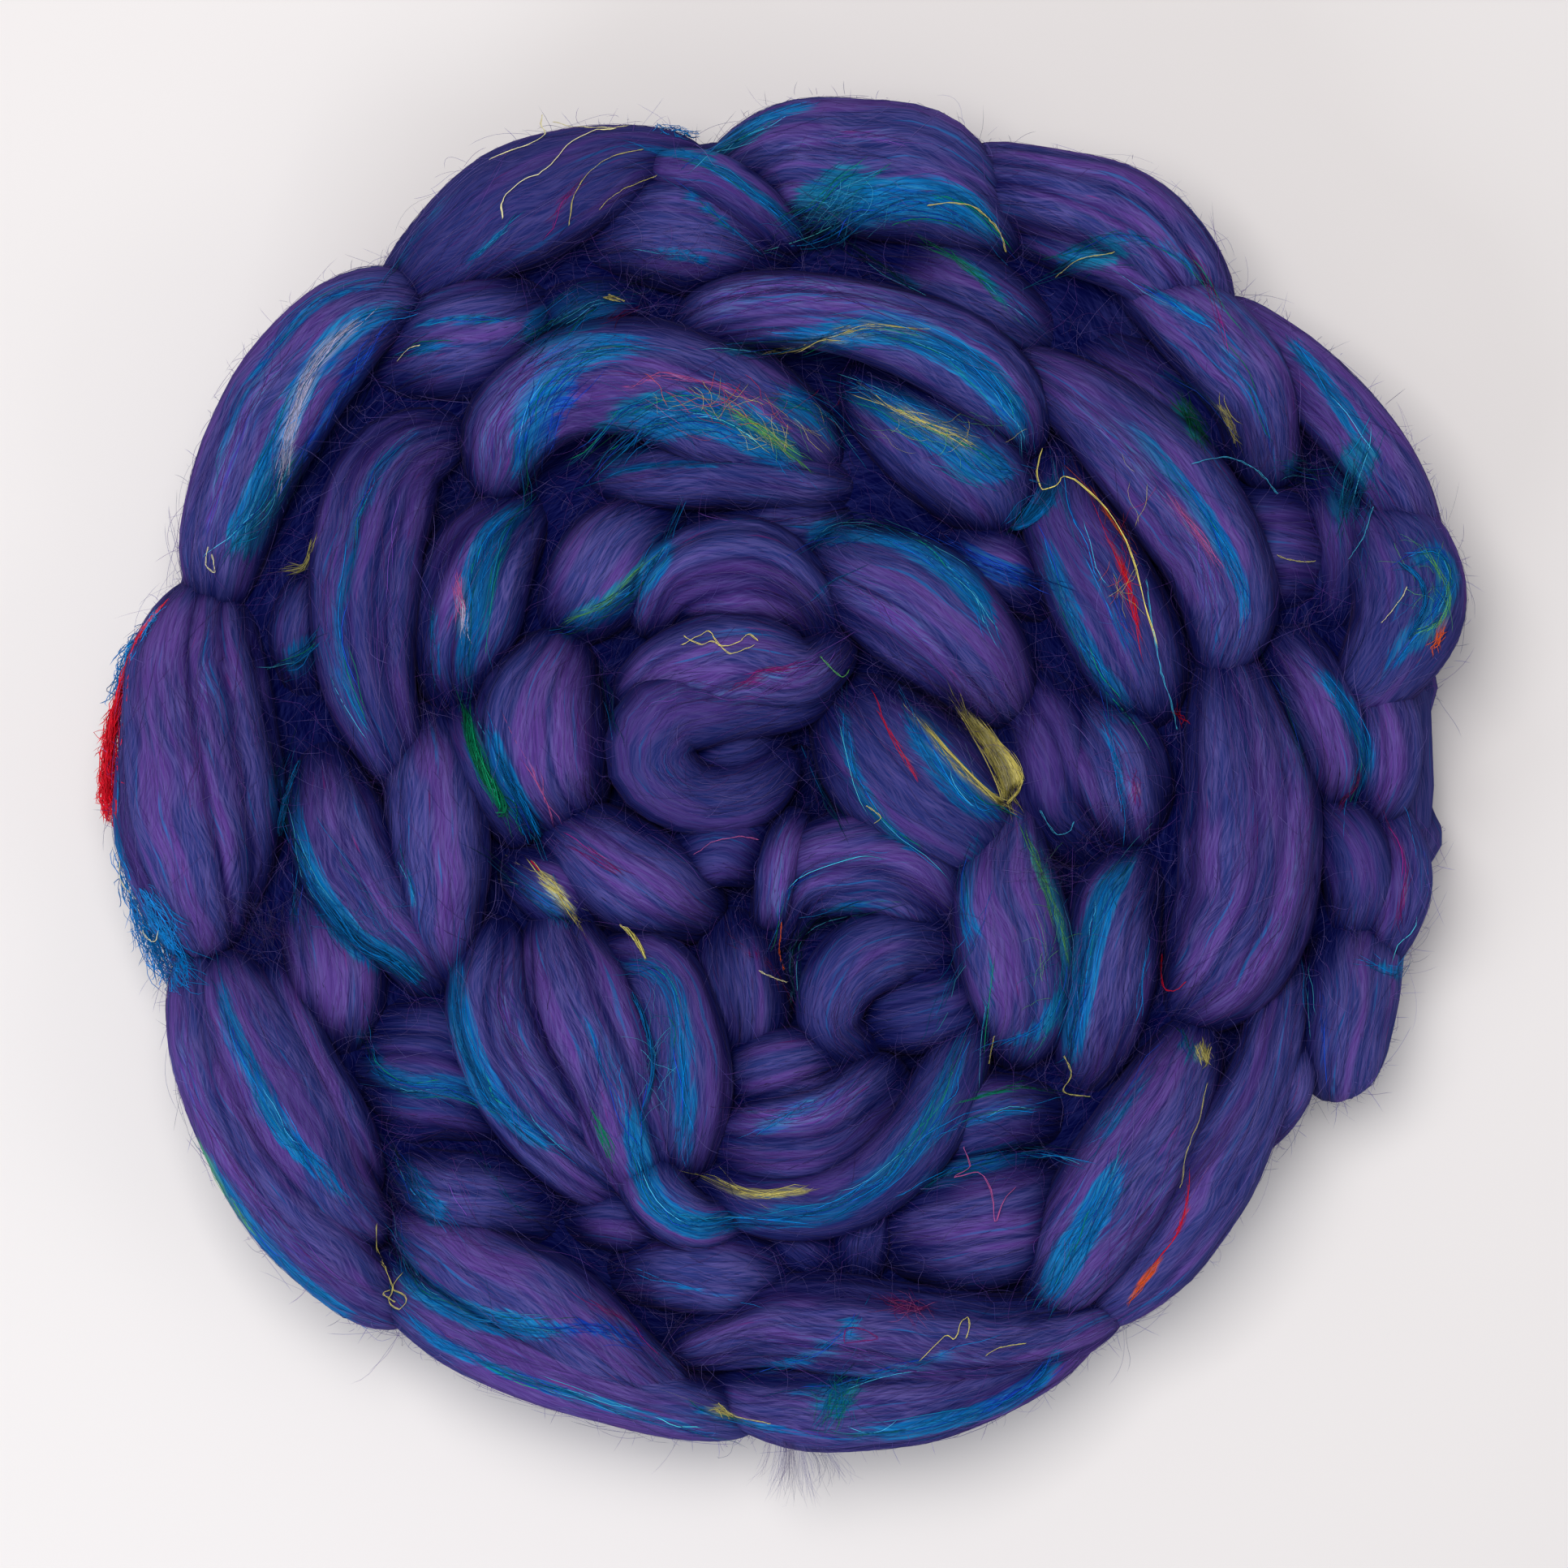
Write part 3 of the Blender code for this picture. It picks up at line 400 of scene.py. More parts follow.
    ("turquoise", 0.9, 0.6, ((84, 172), (90, 175), (100, 176.2))),
    ("straw", 1, 0.7, ((88.3, 173.5), (90, 174.6))),
    ("lavender", 2.2, 0.45, ((93, 164.5), (103, 165.5), (113, 168), (123, 167.5))),
    ("turquoise", 1.8, 0.4, ((110.5, 143.5), (116, 139), (122, 136.6), (129.5, 136))),
    ("turquoise", 2, 0.9, ((112.5, 146), (119, 143.4), (126, 142), (130.5, 142.5))),
    ("emerald", 0.8, 0.5, ((118, 135.5), (125, 133.8), (130, 134.6))),
    # base_d
    ("turquoise", 2.8, 0.9, ((137.3, 143), (134.2, 149), (131.5, 154), (128.5, 160.5))),
    ("turquoise", 1.7, 0.4, ((141.5, 131.5), (138, 136), (134, 141))),
    ("orange", 0.6, 0.95, ((142.4, 155.2), (141, 157), (139.4, 159.4))),
    ("red", 0.5, 0.6, ((146.2, 145.5), (145.5, 150), (143.8, 153))),
    ("straw", 1.2, 0.7, ((147.9, 128.5), (148.3, 130.5))),
    ("teal", 1.8, 0.5, ((145.8, 127.6), (147, 130.5))),
    ("lavender", 2.4, 0.4, ((146, 136), (142, 146), (137, 154), (133, 160))),
    # side_a and side_b
    ("red", 0.6, 0.35, ((145, 87), (146, 89))),
    ("lavender", 3, 0.4, ((156, 84), (159.5, 94), (160, 104), (157.5, 114), (152, 123))),
    ("turquoise", 1.8, 0.4, ((136, 87), (137.3, 94), (138.3, 100))),
    ("magenta", 1, 0.7, ((139.6, 96), (139.8, 99))),
    ("turquoise", 1.6, 0.6, ((138, 52), (144, 59), (149, 66), (152.5, 73), (152.5, 78))),
    ("lavender", 2.4, 0.5, ((130, 48), (137, 54), (143.5, 62), (148, 70), (149, 78))),
    ("pink", 0.7, 0.6, ((144, 62.5), (148.5, 68.5))),
    ("turquoise", 1.2, 0.3, ((130.5, 56), (131.5, 63), (134, 70), (137, 77), (140.5, 84), (142, 89))),
    ("turquoise", 1.8, 0.8, ((128.5, 66), (130.5, 73), (133.5, 80), (137.5, 86), (140, 89.5))),
    ("red", 0.6, 0.8, ((135.5, 65), (137.6, 69.5), (139, 74), (139.8, 78.5))),
    ("royal", 0.8, 0.3, ((137, 73.5), (138.6, 78), (139.5, 80.5))),
    ("orange", 0.7, 0.6, ((133, 59.5), (136, 63), (138.5, 67))),
    ("turquoise", 1.8, 0.95, ((130, 58.5), (128.5, 61.8), (126, 63.3), (124.7, 65))),
    # side_c
    ("turquoise", 1.4, 0.4, ((120.5, 102), (118.8, 108), (119, 115))),
    ("teal", 1.8, 0.55, ((126, 102), (129.3, 109), (131.3, 116), (130.8, 123), (127.5, 129))),
    ("lime", 0.8, 0.75, ((127, 105), (129.3, 111), (131.3, 118))),
    ("turquoise", 1.4, 0.6, ((123.5, 128.5), (128, 126.3), (130.3, 122))),
    ("teal", 1, 0.4, ((122, 117), (121.5, 124), (121, 130))),
    ("turquoise", 2.4, 0.92, ((139.8, 105.5), (136.3, 110), (134.2, 116), (132.6, 124), (131.6, 131.5))),
    ("turquoise", 0.6, 0.5, ((141.5, 115), (140.3, 123))),
    # foot_a
    ("turquoise", 2.4, 0.7, ((89.5, 150), (96, 149.6), (103, 148.3), (109, 144.3), (113.5, 139), (116.5, 133),
     (119.5, 126.5))),
    ("straw", 0.9, 0.8, ((87, 145), (93, 146.8), (100, 146))),
    ("lavender", 2.6, 0.5, ((89, 136), (95, 137.5), (102, 136), (108, 131))),
    ("turquoise", 1.2, 0.55, ((93, 139.5), (97, 137), (101, 135))),
    # left_c
    ("turquoise", 2.2, 0.88, ((56.5, 118), (57, 125), (59.6, 132), (63.5, 137.3), (69, 141))),
    ("turquoise", 2.2, 0.55, ((76.5, 118.8), (81.3, 119.6), (83.8, 124), (84.3, 131), (84.6, 138), (84.4, 143))),
    ("turquoise", 2.4, 0.9, ((79, 136), (78.8, 141), (80.6, 147), (85, 150.3), (91.5, 150.3))),
    ("emerald", 1.2, 0.45, ((73.5, 137), (75.5, 142))),
    ("turquoise", 2, 0.3, ((73, 124), (76, 132), (79, 139))),
    ("lavender", 2.2, 0.45, ((62, 117), (62.5, 124), (66, 132), (72, 139.5))),
    # curl and heart
    ("magenta", 1, 0.7, ((91.5, 84.8), (94, 83.3), (97.5, 82.5))),
    ("lavender", 2.4, 0.45, ((79, 87), (85, 85.5), (92, 86), (99, 83), (104, 80))),
    ("turquoise", 2.6, 1, ((99.5, 67), (102.3, 65.5), (106.3, 65), (111, 66.5), (116, 69.7), (120, 73.7),
     (122, 77.5))),
    ("turquoise", 0.5, 0.4, ((99.5, 74.5), (102, 72.3), (105, 71))),
    ("lavender", 3, 0.4, ((102, 70), (107, 73), (112, 78), (117, 83))),
    ("royal", 2.2, 0.8, ((116.5, 67), (122, 70), (128, 71.8))),
    ("turquoise", 1.4, 0.65, ((103.6, 86), (104.4, 92), (106.3, 98), (110, 102.5), (113.5, 105.3))),
    ("turquoise", 1.5, 0.5, ((99, 92.5), (101, 97), (103.3, 101))),
    ("turquoise", 3, 0.75, ((112, 87), (115, 93), (119.5, 98), (123.5, 100.3))),
    ("red", 0.35, 0.6, ((108, 87), (110.5, 92), (113.2, 96.6))),
    ("straw", 1.2, 0.8, ((118.8, 87.5), (122.8, 94), (124.7, 98.8))),
    ("straw", 0.6, 0.8, ((112.6, 88), (116, 92.8), (120, 96.8), (124, 99.4))),
    ("turquoise", 1, 0.35, ((95.3, 116), (97.2, 110), (101, 107), (107, 105.6), (112.5, 106.3))),
    ("turquoise", 0.8, 0.2, ((99.5, 113), (106, 111), (112.5, 110.6))),
    ("teal", 1.9, 0.85, ((98, 122), (98, 117), (101, 113.6), (106.5, 112))),
    ("turquoise", 1.7, 0.35, ((114, 127), (116.5, 121), (119, 116), (121, 111.5))),
    ("lavender", 1.6, 0.5, ((97.6, 101.5), (95.8, 107), (95, 113))),
    # heart_e and heart_f
    ("turquoise", 1.8, 0.5, ((61.8, 107), (66, 110.3), (70.5, 114))),
    ("straw", 1.2, 0.65, ((66.3, 107.3), (69, 110), (71.3, 113.3))),
    ("emerald", 1.4, 0.8, ((57.6, 87.6), (58.6, 92), (60.5, 96), (62.2, 99.5))),
    ("turquoise", 2, 0.95, ((60.5, 89.5), (62.2, 95.5), (65, 100.7), (66.3, 104))),
    ("pink", 0.5, 0.4, ((63.8, 91), (66.3, 95.5), (67.8, 99))),
    ("turquoise", 0.9, 0.55, ((74.6, 83), (76, 90))),
    ("magenta", 1.2, 0.35, ((71, 104), (77, 107.5))),
    ("magenta", 1, 0.45, ((90.5, 116), (95, 119), (96.5, 122))),
)

# Loose silk threads: colour, thickness (twice the radius of a strand) in mm, line as (across, down) in squares.
THREADS = (
    ("cream", 0.18, ((60.5, 20.2), (63, 19.2), (65.5, 18.4), (67.2, 17), (66.7, 15.5), (66.8, 14.2))),
    ("cream", 0.11, ((68, 14.8), (71, 15.8), (74.5, 16), (77.5, 15.6))),
    ("cream", 0.21, ((62.2, 27.8), (62.2, 25.6), (64.2, 23.4), (67.2, 21.8), (70, 18.4), (73.5, 16.5), (76, 16.2))),
    ("straw", 0.1, ((70.3, 28.5), (71.3, 24), (74.5, 20.6), (79.5, 18.8))),
    ("straw", 0.1, ((74, 26.5), (77, 23.8), (81, 22))),
    ("straw", 0.16, ((114, 26.2), (119, 26), (122.5, 28), (124, 31.2))),
    ("straw", 0.1, ((130, 34.2), (133, 32.4), (137, 31.6))),
    ("yellow", 0.21, ((128.5, 55), (127.7, 58), (128.3, 60.6), (130, 60), (131.2, 58.7), (134.5, 61), (138, 66),
     (139.8, 71), (141, 76), (142.3, 80))),
    ("pale_blue", 0.13, ((140.8, 71.5), (141.7, 78), (143.5, 84), (145.3, 90))),
    ("pale_blue", 0.13, ((146, 57.8), (151, 56.8), (155, 58.2), (157.5, 60.9))),
    ("pale_blue", 0.1, ((169, 62.5), (167.5, 66.5), (166, 69))),
    ("straw", 0.1, ((157, 68.5), (159.5, 69.2), (162, 69.2))),
    ("cream", 0.1, ((172.5, 72.5), (171.5, 74.5), (169.5, 77))),
    ("yellow", 0.13, ((84, 79.7), (86, 78.6), (87.5, 78), (89, 79.8), (91, 79.4), (92.3, 78.5), (93.5, 79.3))),
    ("yellow", 0.1, ((84.3, 78.5), (86.5, 79.6), (88, 79.3), (90, 80.7), (92, 80.2), (93, 79.7))),
    ("pink", 0.14, ((118.6, 140.9), (119.4, 143.4), (117.4, 144.9), (120.2, 144.3), (121.7, 146.2), (122.1, 149.8),
     (123.4, 147.2), (125, 145.8))),
    ("straw", 0.07, ((148.5, 133), (147, 138), (145.5, 142), (145, 146))),
    ("red", 0.13, ((143.2, 117.5), (143.3, 121.3), (144.6, 122), (145.8, 120.8))),
    ("magenta", 0.12, ((104, 164.8), (104.2, 162.9), (106.3, 163), (107.9, 164), (105.8, 164.4), (104, 164.7))),
    ("yellow", 0.12, ((113, 167), (116.2, 163.8), (117.5, 164.2), (118.1, 162.6), (119, 161.8), (119.3, 162.8),
     (118.7, 164.1))),
    ("straw", 0.12, ((121.2, 166.3), (122.6, 165.5), (124.4, 165.1), (126.2, 164.9))),
    ("straw", 0.13, ((46.6, 150.5), (46.4, 154), (47.6, 156.6), (48.6, 158.6), (48, 160.2), (49.3, 161.2),
     (50.2, 159.6), (48.6, 158.4), (49.8, 156.6))),
    ("straw", 0.13, ((48.2, 158.8), (47.4, 159.2), (48.8, 160.3))),
    ("cream", 0.1, ((15, 106), (14.8, 108.5), (17, 111.5), (17.6, 115), (19, 116), (19.6, 114.6))),
    ("cream", 0.1, ((26, 67.5), (25.6, 69.6), (26.6, 70.6), (26.4, 68.4))),
    ("orange", 0.11, ((96.3, 113.5), (96, 117), (96.6, 119.5))),
    ("cream", 0.11, ((93.5, 119.4), (95.5, 120.4), (97, 121))),
    ("pink", 0.11, ((85.5, 105.2), (88, 103.6), (91, 103), (93.6, 103.4))),
    ("straw", 0.11, ((131, 130), (132, 132.4), (131.2, 134.6), (134.5, 135.2))),
    ("pale_blue", 0.11, ((128, 99.8), (130, 102.6), (131.8, 102.2), (132.3, 101.2))),
    ("straw", 0.11, ((122.4, 127.5), (121.8, 131))),
    ("cream", 0.1, ((49, 44.6), (50.4, 43.2), (52, 42.8))),
    ("straw", 0.11, ((75, 36.4), (76.4, 37), (77, 37.2))),
    ("lime", 0.11, ((101, 81), (103.6, 83.4), (104.6, 82.6))),
    ("straw", 0.11, ((106.6, 99.2), (108.4, 100.6), (107.6, 101.4))),
    ("straw", 0.1, ((88.5, 172.8), (90.5, 174.4), (95, 175.2))),
    ("red", 0.1, ((65.5, 106), (66.6, 107.2))),
)

# Tufts that stand loose: colour, count, the line that they stand along, spread in squares, height in mm.
TUFTS = (
    ("red", 120, ((21, 73.5), (17.2, 78), (15.2, 83), (13.8, 88), (13.1, 92)), 0.5, 30),
    ("red", 460, ((15.6, 83.5), (13.6, 89), (12.9, 94), (12.9, 98), (13.6, 101.5)), 1.5, 27),
    ("turquoise", 120, ((20, 74.5), (17, 78), (14.8, 82), (13.6, 87)), 1.5, 26),
    ("turquoise", 130, ((14.2, 104), (15.6, 110), (18, 116), (20.6, 122)), 1.6, 27),
    ("turquoise", 260, ((17, 109.5), (19, 114), (20.8, 118), (22.6, 122)), 3.6, 24),
    ("turquoise", 40, ((80.5, 15.5), (83, 15.8), (86, 16.6)), 1.4, 30),
)

# Fans of fibre: colour, count, radius in mm, and two places each for the roots, the middles and the tips.
FANS = (
    ("yellow", 150, 0.055, ((123.2, 99.2), (126, 96.4)), ((121.6, 93.6), (124.4, 92.8)), ((117.2, 86.4),
     (120, 88.4))),
    ("cream", 50, 0.05, ((124, 98.2), (125.4, 96.6)), ((122.6, 93.4), (123.8, 92.8)), ((117.8, 86.6), (119, 87.6))),
    ("yellow", 60, 0.055, ((123.2, 99.4), (124, 99)), ((118.3, 94.4), (118.8, 94.8)), ((112.6, 88.4), (113.2, 88.2))),
    ("straw", 26, 0.07, ((148.4, 130.8), (148.4, 130.8)), ((147.8, 129.6), (148.8, 129.6)), ((147.4, 128.4),
     (149.2, 128.6))),
    ("straw", 16, 0.07, ((74.4, 36.8), (74.4, 36.8)), ((75.2, 36.5), (75.4, 37.1)), ((76.6, 36.2), (76.8, 37.2))),
    ("turquoise", 90, 0.075, ((124.6, 65.2), (124.6, 65.2)), ((126.4, 62.8), (127.8, 64)), ((128.6, 59),
     (130.6, 60.4))),
    ("pale_hair", 90, 0.02, ((95.8, 176.9), (99.2, 177.9)), ((95.4, 181), (100, 182.5)), ((93.8, 186), (101.5, 187))),
    ("pale_hair", 50, 0.02, ((98.5, 177.6), (102.5, 178.2)), ((99.5, 181), (104.5, 181)), ((98, 184.5),
     (106, 183.5))),
    ("lavender", 30, 0.02, ((94, 176.2), (98, 177.6)), ((93.5, 180), (98.5, 181)), ((91.5, 183.5), (97, 185.5))),
)

# Ropes of silk: colour, count, half width in mm, twists along the line, line.
ROPES = (
    ("emerald", 90, 1.3, 1.3, ((57.4, 87.2), (58.2, 91), (59.8, 95), (61.6, 98), (62.3, 99.8), (61.5, 100.4))),
    ("turquoise", 46, 0.8, 0.9, ((61.8, 92.8), (63.4, 96.6), (65.2, 100), (66.8, 103))),
    ("turquoise", 40, 0.8, 0.8, ((36.8, 93.6), (35.4, 98), (34.6, 103))),
    ("yellow", 40, 0.5, 0.5, ((125.9, 95.4), (125.4, 97.4), (124, 99))),
    ("yellow", 30, 0.6, 0.5, ((76.5, 113.8), (78.5, 115.6), (79.8, 118))),
    ("turquoise", 40, 0.7, 0.9, ((171.5, 69.6), (174, 71.6), (174.6, 75), (172.6, 79))),
    ("turquoise", 30, 0.7, 1, ((79, 138), (80.6, 132), (79.8, 126), (78, 122))),
    ("turquoise", 66, 1.7, 0.5, ((38.5, 108.4), (42, 113), (44.8, 116.2), (48.8, 118.4), (51.8, 121))),
)

# Tangles of curled silk: colours, count, middle, half length and half width in squares, heading in degrees.
TANGLES = (
    (("red", "orange", "straw", "turquoise", "lime", "pink"), 80, (90, 50.5), (9, 3), -18),
    (("lime", "straw", "yellow", "teal"), 36, (96, 54.5), (4.5, 2), -35),
    (("teal", "turquoise", "pale_blue"), 80, (102.5, 27), (5.5, 3), 20),
    (("straw", "lime", "turquoise"), 36, (117, 54), (8, 3), -30),
    (("turquoise", "teal", "lime"), 40, (174.5, 73), (3, 5.5), 90),
    (("turquoise", "teal"), 40, (167, 60), (2, 5), 80),
    (("turquoise", "teal", "turquoise"), 40, (44, 113), (8, 3), -50),
    (("turquoise", "pale_blue", "teal"), 36, (81, 131), (2, 8), 85),
    (("turquoise", "lime", "teal"), 40, (129, 115), (2.5, 10), 80),
    (("red", "orange", "straw", "turquoise"), 36, (138, 70), (2.5, 9), -65),
    (("magenta", "magenta", "pink"), 30, (111.5, 160.5), (2, 0.6), -5),
    (("lavender", "pale_hair", "wool_light"), 80, (32, 114), (5, 4), -50),
    (("lavender", "pale_hair", "wool_light"), 60, (120, 86), (6, 3.5), -40),
    (("lavender", "pale_hair", "wool_light"), 60, (137, 98), (4, 6), 70),
    (("lavender", "pale_hair", "wool_light"), 50, (128, 107), (6, 3), 0),
    (("lavender", "pale_hair", "wool_light"), 50, (50, 148), (6, 5), -40),
    (("lavender", "pale_hair", "wool_light"), 50, (84, 32), (8, 3), 0),
    (("teal", "emerald", "turquoise"), 50, (103, 171.8), (2.4, 2.4), 60),
)


# ---- settings

def colour(name, value, about):
    """A colour of the roving."""
    return FloatVectorProperty(name=name, description=about, default=value, size=3, min=0.0, max=1.0, subtype="COLOR")


def length(name, value, about):
    """A length of the roving."""
    return FloatProperty(name=name, description=about, default=value, unit="LENGTH")


def whole(name, value, about):
    """A whole number of the roving."""
    return IntProperty(name=name, description=about, default=value)


class ROVING_PG_colours(bpy.types.PropertyGroup):
    """Colours of the wool and of the silk blended into it."""

    wool_deep: colour("Deep wool", (0.008, 0.011, 0.085), "Darkest wool fibres")
    wool: colour("Wool", (0.03, 0.025, 0.13), "Most of the wool")
    wool_light: colour("Light wool", (0.093, 0.068, 0.285), "Lightest wool fibres")
    pale_hair: colour("Pale hair", (0.145, 0.112, 0.35), "Palest single fibres")
    wool_blue: colour("Blue wool", (0.022, 0.036, 0.168), "Bluer wool fibres")
    # Painted shade: the near-black colour that the wool takes deep between two lobes
    crease: colour("Crease", (0.0002, 0.0012, 0.04), "Wool deep between two lobes")
    turquoise: colour("Turquoise silk", (0.0003, 0.135, 0.39), "Most of the silk")
    teal: colour("Teal silk", (0.001, 0.12, 0.24), "Greener silk")
    royal: colour("Royal blue silk", (0.006, 0.045, 0.4), "Bluest silk")
    emerald: colour("Emerald silk", (0.003, 0.23, 0.1), "Green silk")
    lavender: colour("Lavender wool", (0.108, 0.042, 0.248), "Paler purple streaks")
    lilac_white: colour("Lilac white silk", (0.42, 0.4, 0.56), "Palest streaks")
    magenta: colour("Magenta silk", (0.2, 0.008, 0.13), "Magenta flecks")
    pink: colour("Pink silk", (0.48, 0.1, 0.3), "Pink threads")
    red: colour("Red silk", (0.62, 0.004, 0.016), "Red tuft and threads")
    orange: colour("Orange silk", (0.78, 0.11, 0.015), "Orange threads")
    straw: colour("Straw silk", (0.62, 0.54, 0.16), "Straw-yellow silk")
    yellow: colour("Yellow silk", (0.84, 0.72, 0.19), "Yellow threads")
    cream: colour("Cream silk", (0.88, 0.8, 0.44), "Cream threads")
    lime: colour("Lime silk", (0.12, 0.42, 0.11), "Lime threads")
    pale_blue: colour("Pale blue silk", (0.06, 0.4, 0.64), "Pale blue threads")
    floor: colour("Floor", (0.79, 0.745, 0.725), "Plain surface that the coil lies on")


class ROVING_PG_sizes(bpy.types.PropertyGroup):
    """Sizes of the relief, fibres and view."""

    furrow_depth: length("Furrow depth", 0.0008, "Depth of the broad furrows between strands of fibre")
    furrow_across: length("Furrow width", 0.01, "Distance from one broad furrow to the next")
    comb_depth: length("Comb depth", 0.00022, "Depth of the narrow furrows")
    comb_across: length("Comb width", 0.0028, "Distance from one narrow furrow to the next")
    swell_depth: length("Swell", 0.0016, "Height of the soft swellings of a lobe")
    hair_radius: length("Hair radius", 0.000052, "Radius of a lock of a few wool fibres")
    hair_count: whole("Hairs", 8700, "Locks of wool fibre that lie on the lobes")
    stray_count: whole("Stray fibres", 3500, "Fine fibres that stand off the lobes")
    bridge_count: whole("Bridging fibres", 2100, "Fine fibres across the creases")
    fuzz_count: whole("Fuzz", 4380, "Short fibres round the outline")
    picture_width: length("Picture width", 1932 * SQUARE / 10, "Width that the picture takes in")
    camera_height: length("Camera height", 1.3, "Height of the camera over the surface")
    seed: whole("Seed", 7, "Start of every random choice")


# ---- strands

def blend(rows, shares):
    """Rows of values at shares (0 to 1) of the way along, on a smooth curve through the given rows."""
    rows = np.asarray(rows, float)
    shares = np.asarray(shares, float)
    place = shares * (len(rows) - 1)
    first = np.minimum(place.astype(int), len(rows) - 2)
    step = (place - first)[..., None]
    a = rows[np.maximum(first - 1, 0)]
    b = rows[first]
    c = rows[first + 1]
    d = rows[np.minimum(first + 2, len(rows) - 1)]
    bend = 2 * a - 5 * b + 4 * c - d
    turn = 3 * b - a - 3 * c + d
    return 0.5 * (2 * b + (c - a) * step + bend * step ** 2 + turn * step ** 3)


def plan_places(across, down):
    """Metres from the coil's middle, for places on the plan's squares."""
    return (across - PLAN_MIDDLE_ACROSS) * SQUARE, (PLAN_MIDDLE_DOWN - down) * SQUARE


def plan_line(line, shares):
    """x and y in metres along a line given on the plan's squares."""
    places = blend(line, shares)
    return plan_places(places[..., 0], places[..., 1])


def plan_run(line, shares):
    """x and y in metres along a line, and the line's heading there as x and y."""
    ahead_x, ahead_y = plan_line(line, np.clip(shares + HEADING_STEP, 0.0, 1.0))
    back_x, back_y = plan_line(line, np.clip(shares - HEADING_STEP, 0.0, 1.0))
    run = np.maximum(np.hypot(ahead_x - back_x, ahead_y - back_y), 1e-9)
    return *plan_line(line, shares), (ahead_x - back_x) / run, (ahead_y - back_y) / run


def end_share(shares):
    """How full a lobe is along its length: round at both ends, full between them."""
    inward = np.minimum(np.minimum(shares, 1.0 - shares) / END_ROUNDING, 1.0)
    return END_WIDTH_SHARE + (1.0 - END_WIDTH_SHARE) * np.sqrt(1.0 - (1.0 - inward) ** 2)


def band_taper(shares):
    """How full a band of silk is along its length: it thins out towards both ends."""
    return np.sqrt(np.clip(np.minimum(shares, 1.0 - shares) / 0.22 + 0.08, 0.0, 1.0))


def unit(vectors):
    """The vectors at length one."""
    return vectors / np.maximum(np.linalg.norm(vectors, axis=-1, keepdims=True), 1e-12)


def sampled(grid, rows, columns):
    """Values of a grid between its points."""
    r = rows.astype(int)
    c = columns.astype(int)
    shape = rows.shape + (1,) * (grid.ndim - 2)
    dr = (rows - r).reshape(shape)
    dc = (columns - c).reshape(shape)
    near = grid[r, c] * (1 - dc) + grid[r, c + 1] * dc
    far = grid[r + 1, c] * (1 - dc) + grid[r + 1, c + 1] * dc
    return near * (1 - dr) + far * dr


